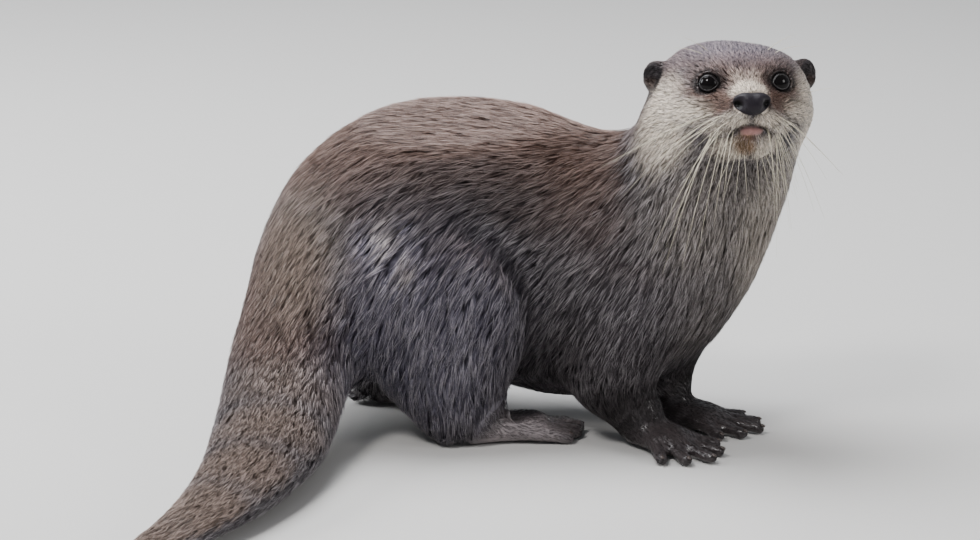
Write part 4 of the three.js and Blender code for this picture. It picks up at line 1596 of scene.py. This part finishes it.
@dataclass
class Whiskers:
    """Whiskers on muzzle, brows, cheeks and chin.

    Args:
        segments: Parts of each rod's length.
        sides: Sides of each rod.
        seed: Seed of the random draws.
        left_share: Length on the animal's left side, as a share of the right.
        sweep: How much lower the left side's whiskers point.
    """

    segments: int = 9
    sides: int = 5
    seed: int = 5
    left_share: float = 0.76
    sweep: float = 20.0

    def on_muzzle(self, sign: int, row: int, column: int, dice: np.random.Generator) -> Bristle:
        """Returns one of the long whiskers beside the mouth.

        Args:
            sign: 1 for the left side, -1 for the right.
            row: Its row, 0 at the top.
            column: Its place in the row, 0 in front.
            dice: The random draws.
        """
        left = sign > 0
        lean = math.radians(14 + row * 16 + column * 2 + dice.normal(0, 8) + self.sweep * left)
        root = (49 - column * 2.6 - row * 0.6, sign * (8 + column * 1.7), -13.5 - row * 2.6 + column * 0.3)
        forward = 0.42 - column * 0.16 + dice.normal(0, 0.17)
        way = (forward, sign * math.cos(lean), -math.sin(lean))
        length = (26 + column * 8.5) * dice.uniform(0.85, 1.12) * (self.left_share if left else 1)
        return Bristle(root, way, length, (8 + row * 2) * dice.uniform(0.5, 1.7))

    def bristles(self) -> list[Bristle]:
        """Returns every whisker, worked out in rows on each side."""
        dice = np.random.default_rng(self.seed)
        found = []
        for sign in SIDES.values():
            found += [self.on_muzzle(sign, row, column, dice) for row in range(4) for column in range(5)]
            found.append(Bristle((16, sign * 16, 19), (0.1, sign * 0.8, 0.62), 17, 4, 0.3))
            found.append(Bristle((18, sign * 19, 17), (0.1, sign * 0.93, 0.4), 20, 6, 0.3))
            found.append(Bristle((20, sign * 31, -4), (0.3, sign * 0.9, 0.28), 20, 3, 0.3))
            for number in range(4):
                root = (46, sign * (3 + number * 2), -33)
                found.append(Bristle(root, (0.3, sign * 0.18 * number, -1), 24, 1, 0.24))
        return found

    def build(self, material: Material) -> None:
        """Builds all whiskers as one piece of tapered rods."""
        made = bmesh.new()
        for bristle in self.bristles():
            self.rod(made, bristle)
        whiskers = made_object("whiskers", made)
        shade_smooth(whiskers)
        put_on(whiskers, material, "coat")

    def rod(self, made: bmesh.types.BMesh, bristle: Bristle) -> None:
        """Adds one tapered rod by extruding its end again and again."""
        start = HEAD.point(*bristle.root)
        way = HEAD.heading(*bristle.way)
        size = {"segments": self.sides, "radius": bristle.thick / 2 * MM, "cap_ends": True}
        ring = bmesh.ops.create_circle(made, **size)["verts"]
        bmesh.ops.rotate(made, verts=ring, matrix=way.to_track_quat("Z", "Y").to_matrix())
        bmesh.ops.translate(made, verts=ring, vec=start - way * 1.5 * MM)
        face = ring[0].link_faces[0]
        before = start - way * 1.5 * MM
        for step in range(1, self.segments + 1):
            share = step / self.segments
            place = start + (way * bristle.length * share - Vector((0, 0, bristle.droop * share**2))) * MM
            grown = bmesh.ops.extrude_discrete_faces(made, faces=[face])["faces"][0]
            size = (1 - 0.88 * share) / (1 - 0.88 * (share - 1 / self.segments))
            middle = before
            for vert in grown.verts:
                vert.co = place + (vert.co - middle) * size
            face, before = grown, place


@dataclass
class Nails:
    """The small blunt nails, which hardly reach past the toes' ends."""

    length: float = 3.0
    width: float = 2.2
    height: float = 1.3

    def build(self, material: Material) -> None:
        """Builds one piece of nails for each foot."""
        for sole in Sole:
            toes = FINGERS if "FORE" in sole.name else TOES
            made = bmesh.new()
            for number in range(5):
                forward, left, heading = toes.tip(number)
                grown = bmesh.ops.create_uvsphere(made, u_segments=12, v_segments=8, radius=MM)["verts"]
                bmesh.ops.scale(made, verts=grown, vec=(self.length / 2, self.width / 2, self.height / 2))
                turn = Matrix.Rotation(math.radians(heading + sole.value.turn), 3, "Z")
                tilt = Matrix.Rotation(math.radians(22), 3, "Y")
                bmesh.ops.rotate(made, verts=grown, matrix=turn @ tilt)
                angle = math.radians(heading)
                ahead = toes.thick * 0.18
                place = sole.value.point(
                    forward + math.cos(angle) * ahead, left + math.sin(angle) * ahead, toes.thick * 0.68
                )
                bmesh.ops.translate(made, verts=grown, vec=place)
            nails = made_object(f"nails_{sole.name.lower()}", made)
            shade_smooth(nails)
            put_on(nails, material, "nose")


# ---------------------------------------------------------------- stage
@dataclass
class Stage:
    """Camera, floor and soft studio light."""

    elevation: float = 14.0
    distance: float = 1600.0
    target: Point = (0.0, 0.0, 78.2)
    sensor: float = 36.0
    seen_width: float = 500.0
    floor_colour: Colour = (0.5, 0.49, 0.475)
    world_colour: Colour = (0.78, 0.82, 0.88)
    world_strength: float = 0.5

    def camera(self) -> None:
        """Sets the camera on the animal's right, a little above it."""
        rise = math.radians(self.elevation)
        back = Vector((0, -math.cos(rise), math.sin(rise)))
        data = bpy.data.cameras.new("camera")
        data.sensor_width = self.sensor
        data.lens = self.sensor * self.distance / self.seen_width
        camera = bpy.data.objects.new("camera", data)
        camera.location = POSE.point(*self.target) + back * self.distance * MM
        camera.rotation_euler = (-back).to_track_quat("-Z", "Y").to_euler()
        bpy.context.collection.objects.link(camera)
        bpy.context.scene.camera = camera

    def floor(self) -> None:
        """Lays a plain pale floor."""
        made = bmesh.new()
        bmesh.ops.create_grid(made, x_segments=1, y_segments=1, size=20.0)
        floor = made_object("floor", made)
        material, _, shader = principled("floor", 0.9)
        shader.inputs["Base Color"].default_value = (*self.floor_colour, 1)
        floor.data.materials.append(material)

    def lamp(self, name: str, at: Point, power: float, size: float, colour: Colour = (1, 1, 1)) -> None:
        """Hangs a soft lamp that faces the animal."""
        data = bpy.data.lights.new(name, "AREA")
        data.shape = "DISK"
        data.energy, data.size, data.color = power, size, colour
        lamp = bpy.data.objects.new(name, data)
        lamp.location = at
        lamp.rotation_euler = (Vector((0, 0, 0.08)) - Vector(at)).to_track_quat("-Z", "Y").to_euler()
        bpy.context.collection.objects.link(lamp)

    def build(self) -> None:
        """Sets up everything round the animal."""
        self.camera()
        self.floor()
        self.lamp("key", (-0.8, -1.1, 1.8), 32, 0.55, (1.0, 0.98, 0.97))
        self.lamp("top", (-0.5, 0.6, 1.8), 66, 1.4, (0.95, 0.97, 1.0))
        self.lamp("rim", (-1.7, 0.35, 0.9), 42, 1.0, (0.96, 0.98, 1.0))
        self.lamp("fill", (1.8, -0.8, 0.9), 16, 0.8, (1.0, 0.98, 0.96))
        world = bpy.data.worlds.new("studio")
        world.use_nodes = True
        sky = world.node_tree.nodes["Background"].inputs
        sky["Color"].default_value = (*self.world_colour, 1)
        sky["Strength"].default_value = self.world_strength
        bpy.context.scene.world = world


def main() -> None:
    """Builds the otter and its stage."""
    logging.basicConfig(level=logging.INFO, format="%(name)s %(message)s")
    group = coat_colour_group()
    Stage().build()
    skin = Skin()
    skin.fuse()
    skin.sink()
    skin.dress(HideFinish().material(group), [Lids().mesh(sign) for sign in SIDES.values()])
    Eyes().build(eye_material())
    Nose().build(NoseFinish().material())
    Coat().build(skin, FurFinish().material(group))
    bpy.data.objects.remove(skin.outer)
    Whiskers().build(plain_material("otter_whisker", from_screen(218, 209, 186), 0.35))
    Nails().build(plain_material("otter_nail", from_screen(60, 50, 46), 0.35))


if __name__ == "__main__":
    main()
